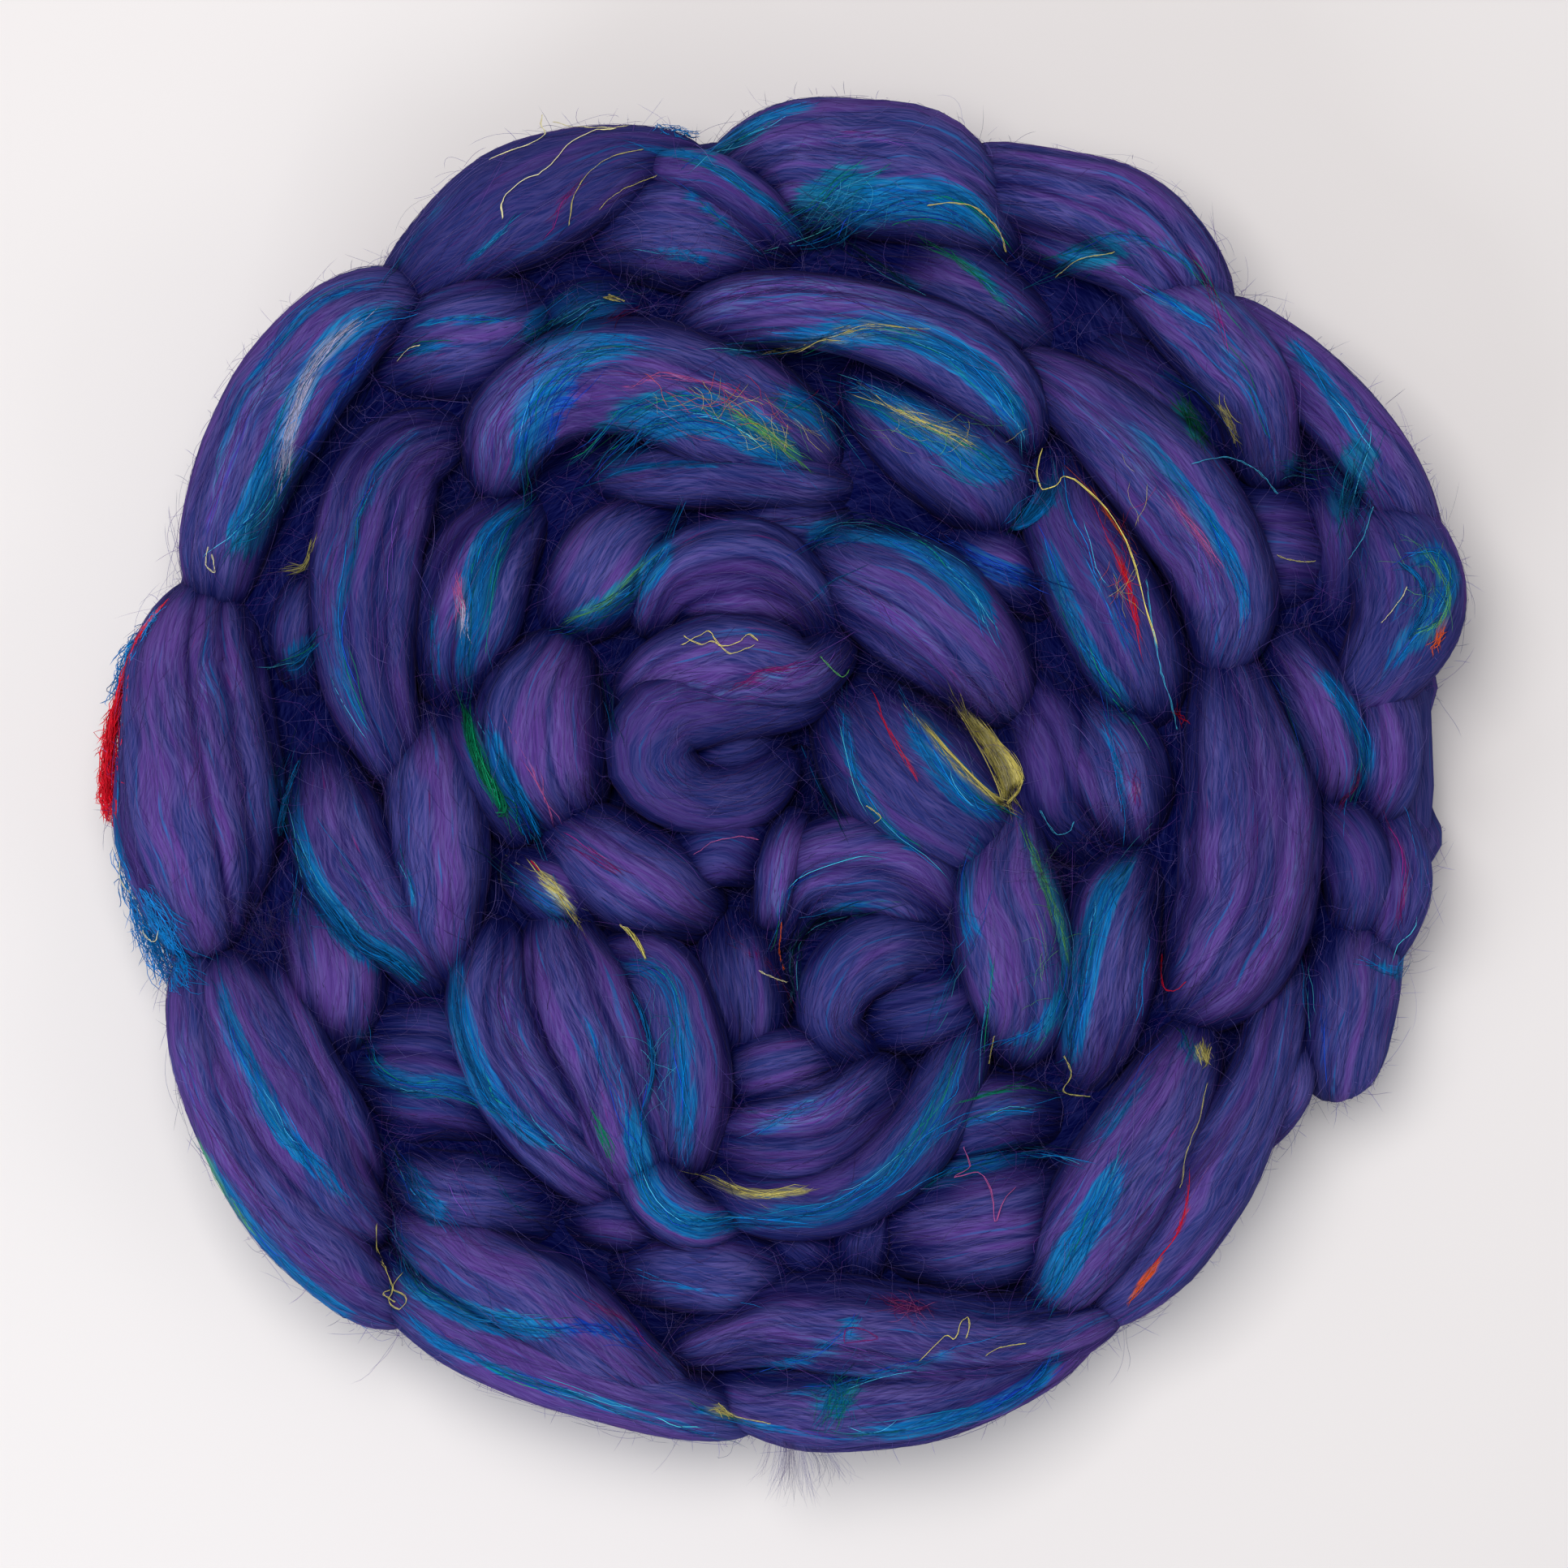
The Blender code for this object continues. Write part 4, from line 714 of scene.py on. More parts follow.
class Lobe:
    """One stretch of the strand: its skin as a grid of points, and how far along and around each lies."""

    def __init__(self, name, points, thickness_share, around, number):
        self.name = name
        self.number = number
        points = np.asarray(points, float)
        centre = points[:, :3]
        half = points[:, 3]
        forward = unit(np.gradient(centre, axis=0))
        side = unit(np.cross(forward, (0.0, 0.0, 1.0)))
        up = unit(np.cross(side, forward))
        turns = np.linspace(0.0, 1.0, around + 1)
        angles = -0.5 * math.pi + math.tau * (turns + 0.09 * np.sin(math.tau * turns))
        ring_side = np.cos(angles)[None, :, None] * side[:, None, :]
        ring_up = thickness_share * np.sin(angles)[None, :, None] * up[:, None, :]
        out = ring_side + ring_up
        skin = centre[:, None, :] + half[:, None, None] * out
        self.full = half / half.max()
        steps = np.linalg.norm(np.diff(centre, axis=0), axis=1)
        self.along = np.concatenate([[0.0], np.cumsum(steps)])
        self.length = self.along[-1]
        self.half_width = half.max()
        self.girth = math.pi * half.max() * (1.0 + thickness_share)
        self.around = self.girth * (angles + 0.5 * math.pi) / math.tau
        self.turn = self.half_width * TURNED.get(name, 0.8 * noise.noise((number * 2.3, 1.5, 0.5)))
        skin += unit(out) * self.relief()[:, :, None]
        skin[:, -1] = skin[:, 0]
        first = np.repeat(skin[:1].mean(axis=1, keepdims=True), around + 1, axis=1)
        last = np.repeat(skin[-1:].mean(axis=1, keepdims=True), around + 1, axis=1)
        self.skin = np.concatenate([first, skin, last])
        self.skin[:, :, 2] = np.maximum(self.skin[:, :, 2], SKIN_FLOOR)
        self.along = np.concatenate([[0.0], self.along, [self.length]])
        ahead = np.gradient(self.skin, axis=0)
        aside = np.gradient(self.skin, axis=1)
        normal = unit(np.cross(aside, ahead))
        outward = self.skin - self.skin.mean(axis=1, keepdims=True)
        if (normal * outward).sum() < 0.0:
            normal = -normal
        self.normal = normal

    def relief(self):
        """Height of the strands over the smooth skin at every point of the grid, and where their grooves lie."""
        sizes = bpy.context.scene.roving_sizes
        heights = np.zeros((len(self.along), len(self.around)))
        self.groove = np.zeros(heights.shape)
        own = CHANNELLED.get(self.name, 0.6 + 1.2 * abs(noise.noise((self.number * 1.7, 0.5, 0.5))))
        for row, (far, full) in enumerate(zip(self.along, self.full)):
            for column, near in enumerate(self.around):
                sway = 0.0060 * noise.noise((near * 30.0, far * 14.0, self.number * 3.7))
                across = near + sway - self.turned(far)
                broad = abs(noise.noise((across / sizes.furrow_across, far * 4.5, self.number * 5.3)))
                narrow = noise.noise((across / sizes.comb_across, far * 22.0, self.number * 7.1))
                swell = noise.noise((near * 34.0, far * 45.0, self.number * 2.9))
                rounded = min(broad / 0.30, 1.0) ** 0.6 - 0.6
                heights[row, column] = full * (
                    own * sizes.furrow_depth * rounded + sizes.comb_depth * narrow + sizes.swell_depth * swell)
                self.groove[row, column] = min(own, 1.8) / 1.8 * max(0.0, 1.0 - broad / (0.08 + 0.03 * own))
        self.groove = np.concatenate([self.groove[:1], self.groove, self.groove[-1:]])
        return heights * min(1.0, self.half_width / 0.012)

    def turned(self, far):
        """How far round the lobe its strands have moved, at a distance along it."""
        return self.turn * (far / self.length) ** 2

    def sample(self, rows, columns, values=None):
        """Values of the grid (its skin, unless others are given) between its points."""
        grid = self.skin if values is None else values
        return sampled(grid, np.clip(rows, 0.0, grid.shape[0] - 1.001), np.clip(columns, 0.0, grid.shape[1] - 1.001))


def lobe_points(crest, sections, dive, count):
    """Points (x, y, z, half width) along a lobe."""
    shares = 0.5 - 0.5 * np.cos(np.pi * np.arange(count) / (count - 1))
    rows = blend(sections, shares)
    x, y = plan_places(rows[:, 0], rows[:, 1])
    fullest = max(width for _, _, width in sections) * SQUARE
    z = crest - 0.5 * THICKNESS_SHARE * fullest - dive * (2.0 * shares - 1.0) ** 2
    half = 0.5 * rows[:, 2] * SQUARE * end_share(shares)
    return np.stack([x, y, z, half], axis=1)


def lobes_of(table, first_number):
    """The lobes of one table."""
    made = []
    for number, (name, crest_mm, sections) in enumerate(table):
        widest = max(width for _, _, width in sections)
        around = 56 if widest > 12 else 44
        if widest < 9:
            around = 34
        count = 34 if len(sections) > 4 else 28
        points = lobe_points(crest_mm * MM, sections, END_DIVE, count)
        made.append(Lobe(name, points, THICKNESS_SHARE, around, first_number + number))
    return made


def spiral_place(turns):
    """Centre of the plait, in squares from the coil's middle, at a number of turns from its end."""
    table = np.asarray(SPIRAL_RADII)
    radius = np.interp(turns, table[:, 0], table[:, 1])
    angle = SPIRAL_START + math.tau * turns
    return radius * math.cos(angle), radius * math.sin(angle)


def link_backs():
    """Sections of the links' backs: two lobes at each pitch, meeting in a V on the middle line."""
    backs = []
    travelled = 0.0
    turns = 0.0
    here = spiral_place(0.0)
    while turns < LAST_LINK:
        turns += SPIRAL_STEP
        there = spiral_place(turns)
        travelled += math.dist(here, there)
        along_x = (there[0] - here[0]) / math.dist(here, there)
        along_y = (there[1] - here[1]) / math.dist(here, there)
        here = there
        if travelled < LINK_PITCH:
            continue
        travelled = 0.0
        for side in (-1.0, 1.0):
            sections = []
            for share in (0.0, 0.5, 1.0):
                forward = LINK_LEAN * (share - 0.5)
                aside = side * (LINK_INNER + (LINK_OUTER - LINK_INNER) * share)
                across = here[0] + along_x * forward - along_y * aside
                away = here[1] + along_y * forward + along_x * aside
                width = LINK_WIDTH * (1.0 if share == 0.5 else LINK_END_SHARE)
                sections.append((PLAN_MIDDLE_ACROSS + across, PLAN_MIDDLE_DOWN - away, width))
            backs.append(sections)
    return backs


def back_lobes(first_number):
    """The lobes of the plait's back, and the strand through the middles of its links."""
    made = []
    for number, sections in enumerate(link_backs()):
        points = lobe_points(LINK_CREST, sections, LINK_DIVE, 14)
        made.append(Lobe(f"link_back_{number}", points, THICKNESS_SHARE, 24, first_number + number))
    points = []
    half = 0.5 * HEART_WIDTH * SQUARE
    for turns in np.linspace(0.0, SPIRAL_TURNS, 130):
        across, away = spiral_place(turns)
        z = HEART_CREST - HEART_THICKNESS_SHARE * half
        points.append((across * SQUARE, away * SQUARE, z, half))
    points[0] = (*points[0][:3], 0.5 * half)
    points[-1] = (*points[-1][:3], 0.5 * half)
    made.append(Lobe("heart_strand", points, HEART_THICKNESS_SHARE, 32, first_number + len(made)))
    return made


# ---- what lies over the coil

class Cover:
    """Height of the coil's top over the plan, and how deep in a crease each place lies."""

    cell = 0.0012
    reach = 0.200

    def __init__(self, lobes):
        points = []
        faces = []
        for lobe in lobes:
            rows, columns, _ = lobe.skin.shape
            base = len(points)
            points.extend(lobe.skin.reshape(-1, 3).tolist())
            for row in range(rows - 1):
                for column in range(columns - 1):
                    corner = base + row * columns + column
                    faces.append((corner, corner + 1, corner + columns + 1, corner + columns))
        tree = BVHTree.FromPolygons(points, faces)
        self.count = int(2 * self.reach / self.cell) + 1
        self.height = np.zeros((self.count, self.count))
        down = Vector((0.0, 0.0, -1.0))
        for row in range(self.count):
            for column in range(self.count):
                place = Vector((column * self.cell - self.reach, row * self.cell - self.reach, 0.2))
                hit = tree.ray_cast(place, down)[0]
                if hit is not None:
                    self.height[row, column] = hit.z

    def at(self, x, y):
        """Height of the top at places."""
        row, column = (np.clip((np.asarray(place) + self.reach) / self.cell, 0, self.count - 2) for place in (y, x))
        return sampled(self.height, row, column)

    def over(self, points):
        """Height of the top over, or under, each point."""
        return self.at(points[..., 0], points[..., 1])

    def slope(self, points):
        """How steep the coil's top is at each point."""
        x = points[..., 0]
        y = points[..., 1]
        step = 0.001
        across = self.at(x + step, y) - self.at(x - step, y)
        along = self.at(x, y + step) - self.at(x, y - step)
        return np.hypot(across, along) / (2.0 * step)

    def depth(self, points):
        """How far what stands round the points shuts them in: 0 in the open, 1 deep between two lobes."""
        rising = []
        for turn in range(8):
            angle = math.tau * (turn + 0.25) / 8
            steepest = np.zeros(points.shape[:-1])
            for radius in (0.003, 0.006, 0.010, 0.015, 0.021):
                over = self.at(points[..., 0] + radius * math.cos(angle), points[..., 1] + radius * math.sin(angle))
                steepest = np.maximum(steepest, (over - points[..., 2]) / radius)
            rising.append(steepest / np.sqrt(1.0 + steepest ** 2))
        shut = sum(np.minimum(rising[turn], rising[turn + 4]) for turn in range(4)) / 4
        return np.clip(0.85 * shut + 0.15 * sum(rising) / 8, 0.0, 1.0)


def on_coil(cover, paths):
    """Which of the paths lie on the coil, rather than past its outline."""
    return (cover.over(paths) > LOW_HEIGHT).mean(axis=1) > ON_COIL_SHARE


def drape(cover, x, y, lift):
    """Points on the coil's top along lines of places; past the outline they sink slowly."""
    z = cover.at(x, y)
    drop = DRAPE_SLOPE * np.hypot(np.diff(x, axis=-1), np.diff(y, axis=-1))
    for column in range(1, z.shape[-1]):
        z[..., column] = np.maximum(z[..., column], z[..., column - 1] - drop[..., column - 1])
    for column in range(z.shape[-1] - 2, -1, -1):
        z[..., column] = np.maximum(z[..., column], z[..., column + 1] - drop[..., column])
    return np.stack([x, y, z + lift], axis=-1)


# ---- meshes

def placed(name, data):
    """A new object in the scene."""
    thing = bpy.data.objects.new(name, data)
    bpy.context.scene.collection.objects.link(thing)
    return thing


def attribute(mesh, name, kind, values):
    """A value for every point of the mesh."""
    layer = mesh.attributes.new(name, kind, "POINT")
    key = "color" if kind == "FLOAT_COLOR" else "value"
    layer.data.foreach_set(key, np.asarray(values, np.float32).ravel())


def lobe_mesh(lobe, stain, shade, hue):
    """The lobe's skin as a mesh: a grid rolled into a tube, its seam welded and its ends closed."""
    rows, columns, _ = lobe.skin.shape
    work = bmesh.new()
    work.loops.layers.uv.new("UVMap")
    bmesh.ops.create_grid(work, x_segments=columns - 1, y_segments=rows - 1, size=0.5, calc_uvs=True)
    mesh = bpy.data.meshes.new(lobe.name)
    work.to_mesh(mesh)
    work.free()
    flat = np.zeros(len(mesh.vertices) * 3)
    mesh.vertices.foreach_get("co", flat)
    flat = flat.reshape(-1, 3)
    column = np.rint((flat[:, 0] + 0.5) * (columns - 1)).astype(int)
    row = np.rint((flat[:, 1] + 0.5) * (rows - 1)).astype(int)
    mesh.vertices.foreach_set("co", lobe.skin[row, column].ravel())
    corners = np.zeros(len(mesh.loops), int)
    mesh.loops.foreach_get("vertex_index", corners)
    uv = np.stack([lobe.around[column[corners]] - lobe.turned(lobe.along[row[corners]]) + 0.37 * lobe.number,
                   lobe.along[row[corners]] + 0.61 * lobe.number], axis=1)
    mesh.uv_layers["UVMap"].data.foreach_set("uv", uv.ravel())
    attribute(mesh, "silk", "FLOAT_COLOR", stain[row, column])
    # openness carries the painted shade: the share of its colour that each point keeps
    attribute(mesh, "openness", "FLOAT", shade[row, column])
    attribute(mesh, "hue", "FLOAT", np.full(len(row), hue))
    work = bmesh.new()
    work.from_mesh(mesh)
    bmesh.ops.remove_doubles(work, verts=work.verts, dist=1e-7)
    bmesh.ops.dissolve_degenerate(work, dist=1e-8, edges=work.edges)
    bmesh.ops.recalc_face_normals(work, faces=work.faces)
    work.to_mesh(mesh)
    work.free()
    return mesh


def joined(name, meshes):
    """One object of several meshes."""
    work = bmesh.new()
    for mesh in meshes:
        work.from_mesh(mesh)
        bpy.data.meshes.remove(mesh)
    mesh = bpy.data.meshes.new(name)
    work.to_mesh(mesh)
    work.free()
    mesh.shade_smooth()
    return placed(name, mesh)


def dressed(piece, material):
    """Give the piece its material and body, and let it stand for the plain solid."""
    piece.data.materials.append(material)
    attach(piece, "root")
    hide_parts(NODE)
    return piece


def fibres(name, paths, radii, tints, material):
    """Many thin fibres as one mesh: three-sided tubes that taper to a point at both ends.

    paths is (fibre, point, xyz), radii one number a fibre and tints one colour a fibre.
    """
    count, points, _ = paths.shape
    paths = keep_in_box(paths)
    forward = unit(np.gradient(paths, axis=1))
    aside = unit(np.cross(forward, (0.31, 0.17, 0.93)))
    up = np.cross(aside, forward)
    rings = points - 2
    corners = []
    for corner in range(3):
        angle = math.tau * corner / 3 + 0.5 * math.pi
        offset = math.cos(angle) * aside + math.sin(angle) * up
        corners.append(paths + radii[:, None, None] * offset)
    body = np.stack(corners, axis=2)[:, 1:-1].reshape(count, rings * 3, 3)
    verts = np.concatenate([paths[:, :1], body, paths[:, -1:]], axis=1)
    each = rings * 3 + 2
    quads = []
    for ring in range(rings - 1):
        for corner in range(3):
            a = 1 + ring * 3 + corner
            b = 1 + ring * 3 + (corner + 1) % 3
            quads.append((a, b, b + 3, a + 3))
    tips = []
    for corner in range(3):
        following = (corner + 1) % 3
        tips.append((0, 1 + following, 1 + corner))
        last = 1 + (rings - 1) * 3
        tips.append((each - 1, last + corner, last + following))
    starts = (np.arange(count) * each)[:, None, None]
    quads = (np.asarray(quads)[None] + starts).reshape(-1)
    tips = (np.asarray(tips)[None] + starts).reshape(-1)
    mesh = bpy.data.meshes.new(name)
    mesh.vertices.add(count * each)
    mesh.vertices.foreach_set("co", verts.ravel())
    mesh.loops.add(len(quads) + len(tips))
    mesh.loops.foreach_set("vertex_index", np.concatenate([quads, tips]))
    lengths = np.concatenate([np.full(len(quads) // 4, 4), np.full(len(tips) // 3, 3)])
    mesh.polygons.add(len(lengths))
    mesh.polygons.foreach_set("loop_start", np.concatenate([[0], np.cumsum(lengths)[:-1]]))
    mesh.update(calc_edges=True)
    mesh.validate()
    attribute(mesh, "tint", "FLOAT_COLOR", np.repeat(np.c_[tints, np.ones(count)], each, axis=0))
    mesh.shade_smooth()
    return dressed(placed(name, mesh), material)


def keep_in_box(paths):
    """Hold loose fibres over the surface and close to the coil."""
    low = np.array(CAD_BOX[0]) - BOX_SPARE
    high = np.array(CAD_BOX[1]) + (BOX_SPARE, BOX_SPARE, BOX_SPARE_UP)
    low[2] = FIBRE_FLOOR
    return np.clip(paths, low, high)


# ---- materials

class Number:
    """A number that varies over the surface. Arithmetic on it adds Math nodes."""

    def __init__(self, shader, socket):
        self.shader = shader
        self.socket = socket

    def maths(self, operation, *values):
        node = self.shader.node("ShaderNodeMath", {"operation": operation}, dict(enumerate(values)))
        return Number(self.shader, node.outputs[0])

    def __add__(self, other):
        return self.maths("ADD", self, other)

    __radd__ = __add__

    def __sub__(self, other):
        return self.maths("SUBTRACT", self, other)

    def __rsub__(self, other):
        return self.maths("SUBTRACT", other, self)

    def __mul__(self, other):
        return self.maths("MULTIPLY", self, other)

    __rmul__ = __mul__

    def between(self, low, high):
        """0 below low, 1 above high, smooth between them."""
        node = self.shader.node("ShaderNodeMapRange", {"interpolation_type": "SMOOTHSTEP"},
                                {"Value": self, "From Min": low, "From Max": high})
        return Number(self.shader, node.outputs["Result"])


class Shader:
    """A new material on one Principled shader, and the few ways in which nodes are added to it."""

    def __init__(self, name):
        self.material = bpy.data.materials.new(name)
        self.material.use_nodes = True
        self.tree = self.material.node_tree
        self.surface = self.tree.nodes["Principled BSDF"]

    def node(self, kind, settings=None, values=None):
        """A node of a type, with its settings, then the values or links of its sockets."""
        node = self.tree.nodes.new(kind)
        for key, value in (settings or {}).items():
            setattr(node, key, value)
        for key, value in (values or {}).items():
            self.feed(node.inputs[key], value)
        return node

    def feed(self, socket, value):
        """Link a socket or a number to a socket, or set its value."""
        if isinstance(value, Number):
            value = value.socket
        if isinstance(value, bpy.types.NodeSocket):
            self.tree.links.new(value, socket)
        elif hasattr(socket.default_value, "__len__") and len(socket.default_value) == 4 and len(value) == 3:
            socket.default_value = (*value, 1.0)
        else:
            socket.default_value = value

    def mix(self, factor, first, second):
        """Two colours mixed by a factor."""
        return self.node("ShaderNodeMix", {"data_type": "RGBA"}, {0: factor, 6: first, 7: second}).outputs[2]

    def vectors(self, operation, first, second):
        """Arithmetic on two vectors."""
        return self.node("ShaderNodeVectorMath", {"operation": operation}, {0: first, 1: second}).outputs[0]

    def flow(self):
        """The piece's own map in metres, swayed a little so that no fibre runs quite straight."""
        place = self.node("ShaderNodeUVMap", {"uv_map": "UVMap"}).outputs[0]
        cloud = self.node("ShaderNodeTexNoise", {"noise_dimensions": "2D"},
                          {"Vector": place, "Scale": 40.0, "Detail": 1.0})
        centred = self.vectors("SUBTRACT", cloud.outputs[1], (0.5, 0.5, 0.5))
        return self.vectors("ADD", place, self.vectors("MULTIPLY", centred, (0.007, 0.0, 0.0)))

    def streaks(self, flow, across, along, detail=2.0, lean=0.0, seed=0.0):
        """Noise drawn out along the fibres, or at a slight lean to them."""
        drawn = self.node("ShaderNodeMapping", {"vector_type": "TEXTURE"}, {
            "Vector": flow, "Location": (seed, seed * 0.7, 0.0), "Rotation": (0.0, 0.0, lean),
            "Scale": (across, along, 1.0)})
        cloud = self.node("ShaderNodeTexNoise", {"noise_dimensions": "2D"}, {
            "Vector": drawn.outputs[0], "Scale": 1.0, "Detail": detail, "Roughness": 0.6})
        return Number(self, cloud.outputs[0])

    def lines(self, flow, apart, along, lean, seed, half=0.09):
        """Thin lines along the fibres at a lean to them, as single fibres show on the skin."""
        wave = self.streaks(flow, apart, along, 1.0, lean, seed)
        return wave.between(0.5 - half, 0.5) * wave.between(0.5 + half, 0.5)

    def spots(self, size):
        """Even noise over the piece."""
        place = self.node("ShaderNodeTexCoord").outputs["Object"]
        cloud = self.node("ShaderNodeTexNoise", None, {"Vector": place, "Scale": 1.0 / size, "Detail": 2.0})
        return Number(self, cloud.outputs[0])

    def named(self, name, output):
        """A value that the mesh carries."""
        return self.node("ShaderNodeAttribute", {"attribute_name": name}).outputs[output]

    def set(self, **values):
        """Values or links of the shader's own sockets, named with underscores for spaces."""
        for name, value in values.items():
            self.feed(self.surface.inputs[name.replace("_", " ")], value)


def wool_skin():
    """Combed wool with silk: streaks along the fibres, with painted shade in the creases."""
    c = bpy.context.scene.roving_colours
    s = Shader("combed_wool")
    flow = s.flow()
    broad = s.streaks(flow, 0.0085, 0.090, 2.0, 0.0, 3.0)
    middle = s.streaks(flow, 0.0026, 0.050, 3.0, 0.03, 11.0)
    fine = s.streaks(flow, 0.0009, 0.026, 3.0, -0.04, 23.0)
    hair = s.streaks(flow, 0.00030, 0.010, 2.0, 0.09, 31.0)
    near = s.lines(flow, 0.0009, 0.024, 0.08, 37.0)
    across = s.lines(flow, 0.0011, 0.020, -0.17, 41.0)
    stray = s.lines(flow, 0.0012, 0.018, 0.30, 43.0)
    gap = s.lines(flow, 0.0012, 0.030, -0.07, 71.0, 0.12)
    broken = s.streaks(flow, 0.0050, 0.014, 1.0, 0.0, 73.0).between(0.35, 0.65)
    drift = s.spots(0.050)
    hue = Number(s, s.named("hue", "Fac"))
    base = s.mix(0.15 + 0.85 * middle.between(0.34, 0.58), c.wool_deep, c.wool)
    base = s.mix((broad + hue * 0.30 - 0.03).between(0.44, 0.62) * 0.90, base, c.wool_blue)
    base = s.mix((broad * 0.7 + drift * 0.5).between(0.61, 0.52) * 0.80, base, c.lavender)
    base = s.mix(fine.between(0.46, 0.76) * (0.15 + 0.45 * drift), base, c.wool_light)
    base = s.mix(fine.between(0.46, 0.24) * 0.20, base, c.wool_deep)
    base = s.mix(hair.between(0.54, 0.80) * 0.30, base, c.wool_light)
    base = s.mix(hair.between(0.46, 0.26) * 0.25, base, c.wool_deep)
    base = s.mix(gap * 0.35, base, c.wool_deep)
    base = s.mix(near * (0.14 + 0.20 * broken), base, c.pale_hair)
    base = s.mix(across * (0.08 + 0.24 * broken), base, c.pale_hair)
    base = s.mix(stray * (0.30 - 0.25 * broken), base, c.pale_hair)
    silk = Number(s, s.named("silk", "Alpha"))
    lock = s.streaks(flow, 0.0012, 0.030, 3.0, 0.05, 47.0)
    sheet = s.streaks(flow, 0.0005, 0.009, 3.0, -0.12, 53.0)
    covers = (lock * 0.60 + sheet * 0.40 + silk * 0.50).between(0.64, 0.82)
    covers = covers * silk.between(0.02, 0.30)
    silk_colour = s.mix(s.streaks(flow, 0.0019, 0.035, 2.0, 0.0, 59.0).between(0.50, 0.72) * 0.45,
                        s.named("silk", "Color"), c.royal)
    silk_colour = s.mix(sheet.between(0.50, 0.25) * 0.25, silk_colour, c.wool_blue)
    silk_colour = s.mix(lock.between(0.50, 0.32) * 0.40, silk_colour, c.teal)
    silk_colour = s.mix(gap * 0.35 + hair.between(0.48, 0.30) * 0.30, silk_colour, c.wool_deep)
    silk_colour = s.mix(near * 0.16 + across * 0.14, silk_colour, c.pale_blue)
    base = s.mix(covers, base, silk_colour)
    chance = s.streaks(flow, 0.0017, 0.040, 2.0, 0.0, 61.0).between(0.66, 0.76) * 0.60
    base = s.mix(chance, base, c.turquoise)
    fleck = s.streaks(flow, 0.0011, 0.018, 2.0, 0.0, 67.0).between(0.72, 0.80) * 0.55
    base = s.mix(fleck, base, c.magenta)
    openness = Number(s, s.named("openness", "Fac"))
    base = s.mix(hue.between(0.55, 1.10) * 0.55, base, c.wool_deep)
    # Painted shade: where the openness falls the colour turns to the crease colour, with fibre lines in the darkest
    # wool colour
    deep = s.mix(near * 0.45 + across * 0.35 + stray * 0.35, c.crease, c.wool_deep)
    base = s.mix(openness, deep, base)
    relief = fine * 0.40 + hair * 0.25 + near * 0.12 + across * 0.10 + stray * 0.08 - gap * 0.10 + middle * 0.35
    bump = s.node("ShaderNodeBump", None, {"Strength": 0.55, "Distance": 0.0006, "Height": relief})
    s.set(Base_Color=base, Roughness=0.80 - silk * 0.22, Normal=bump.outputs[0], Sheen_Weight=0.03,
          Sheen_Roughness=0.5, Sheen_Tint=(0.35, 0.25, 0.95), Specular_IOR_Level=0.02)
    return s.material


def fibre_skin(name, blotch, depth, shadow, roughness, gloss):
    """Fibres in the colour that each carries, darkened here and there."""
    s = Shader(name)
    tint = s.named("tint", "Color")
    s.set(Base_Color=s.mix(s.spots(blotch) * depth, tint, shadow), Roughness=roughness, Specular_IOR_Level=gloss)
    return s.material


def floor_skin():
    """Plain pale surface."""
    c = bpy.context.scene.roving_colours
    s = Shader("pale_floor")
    s.set(Base_Color=c.floor, Roughness=0.7, Specular_IOR_Level=0.2)
    return s.material


# ---- the coil as a whole

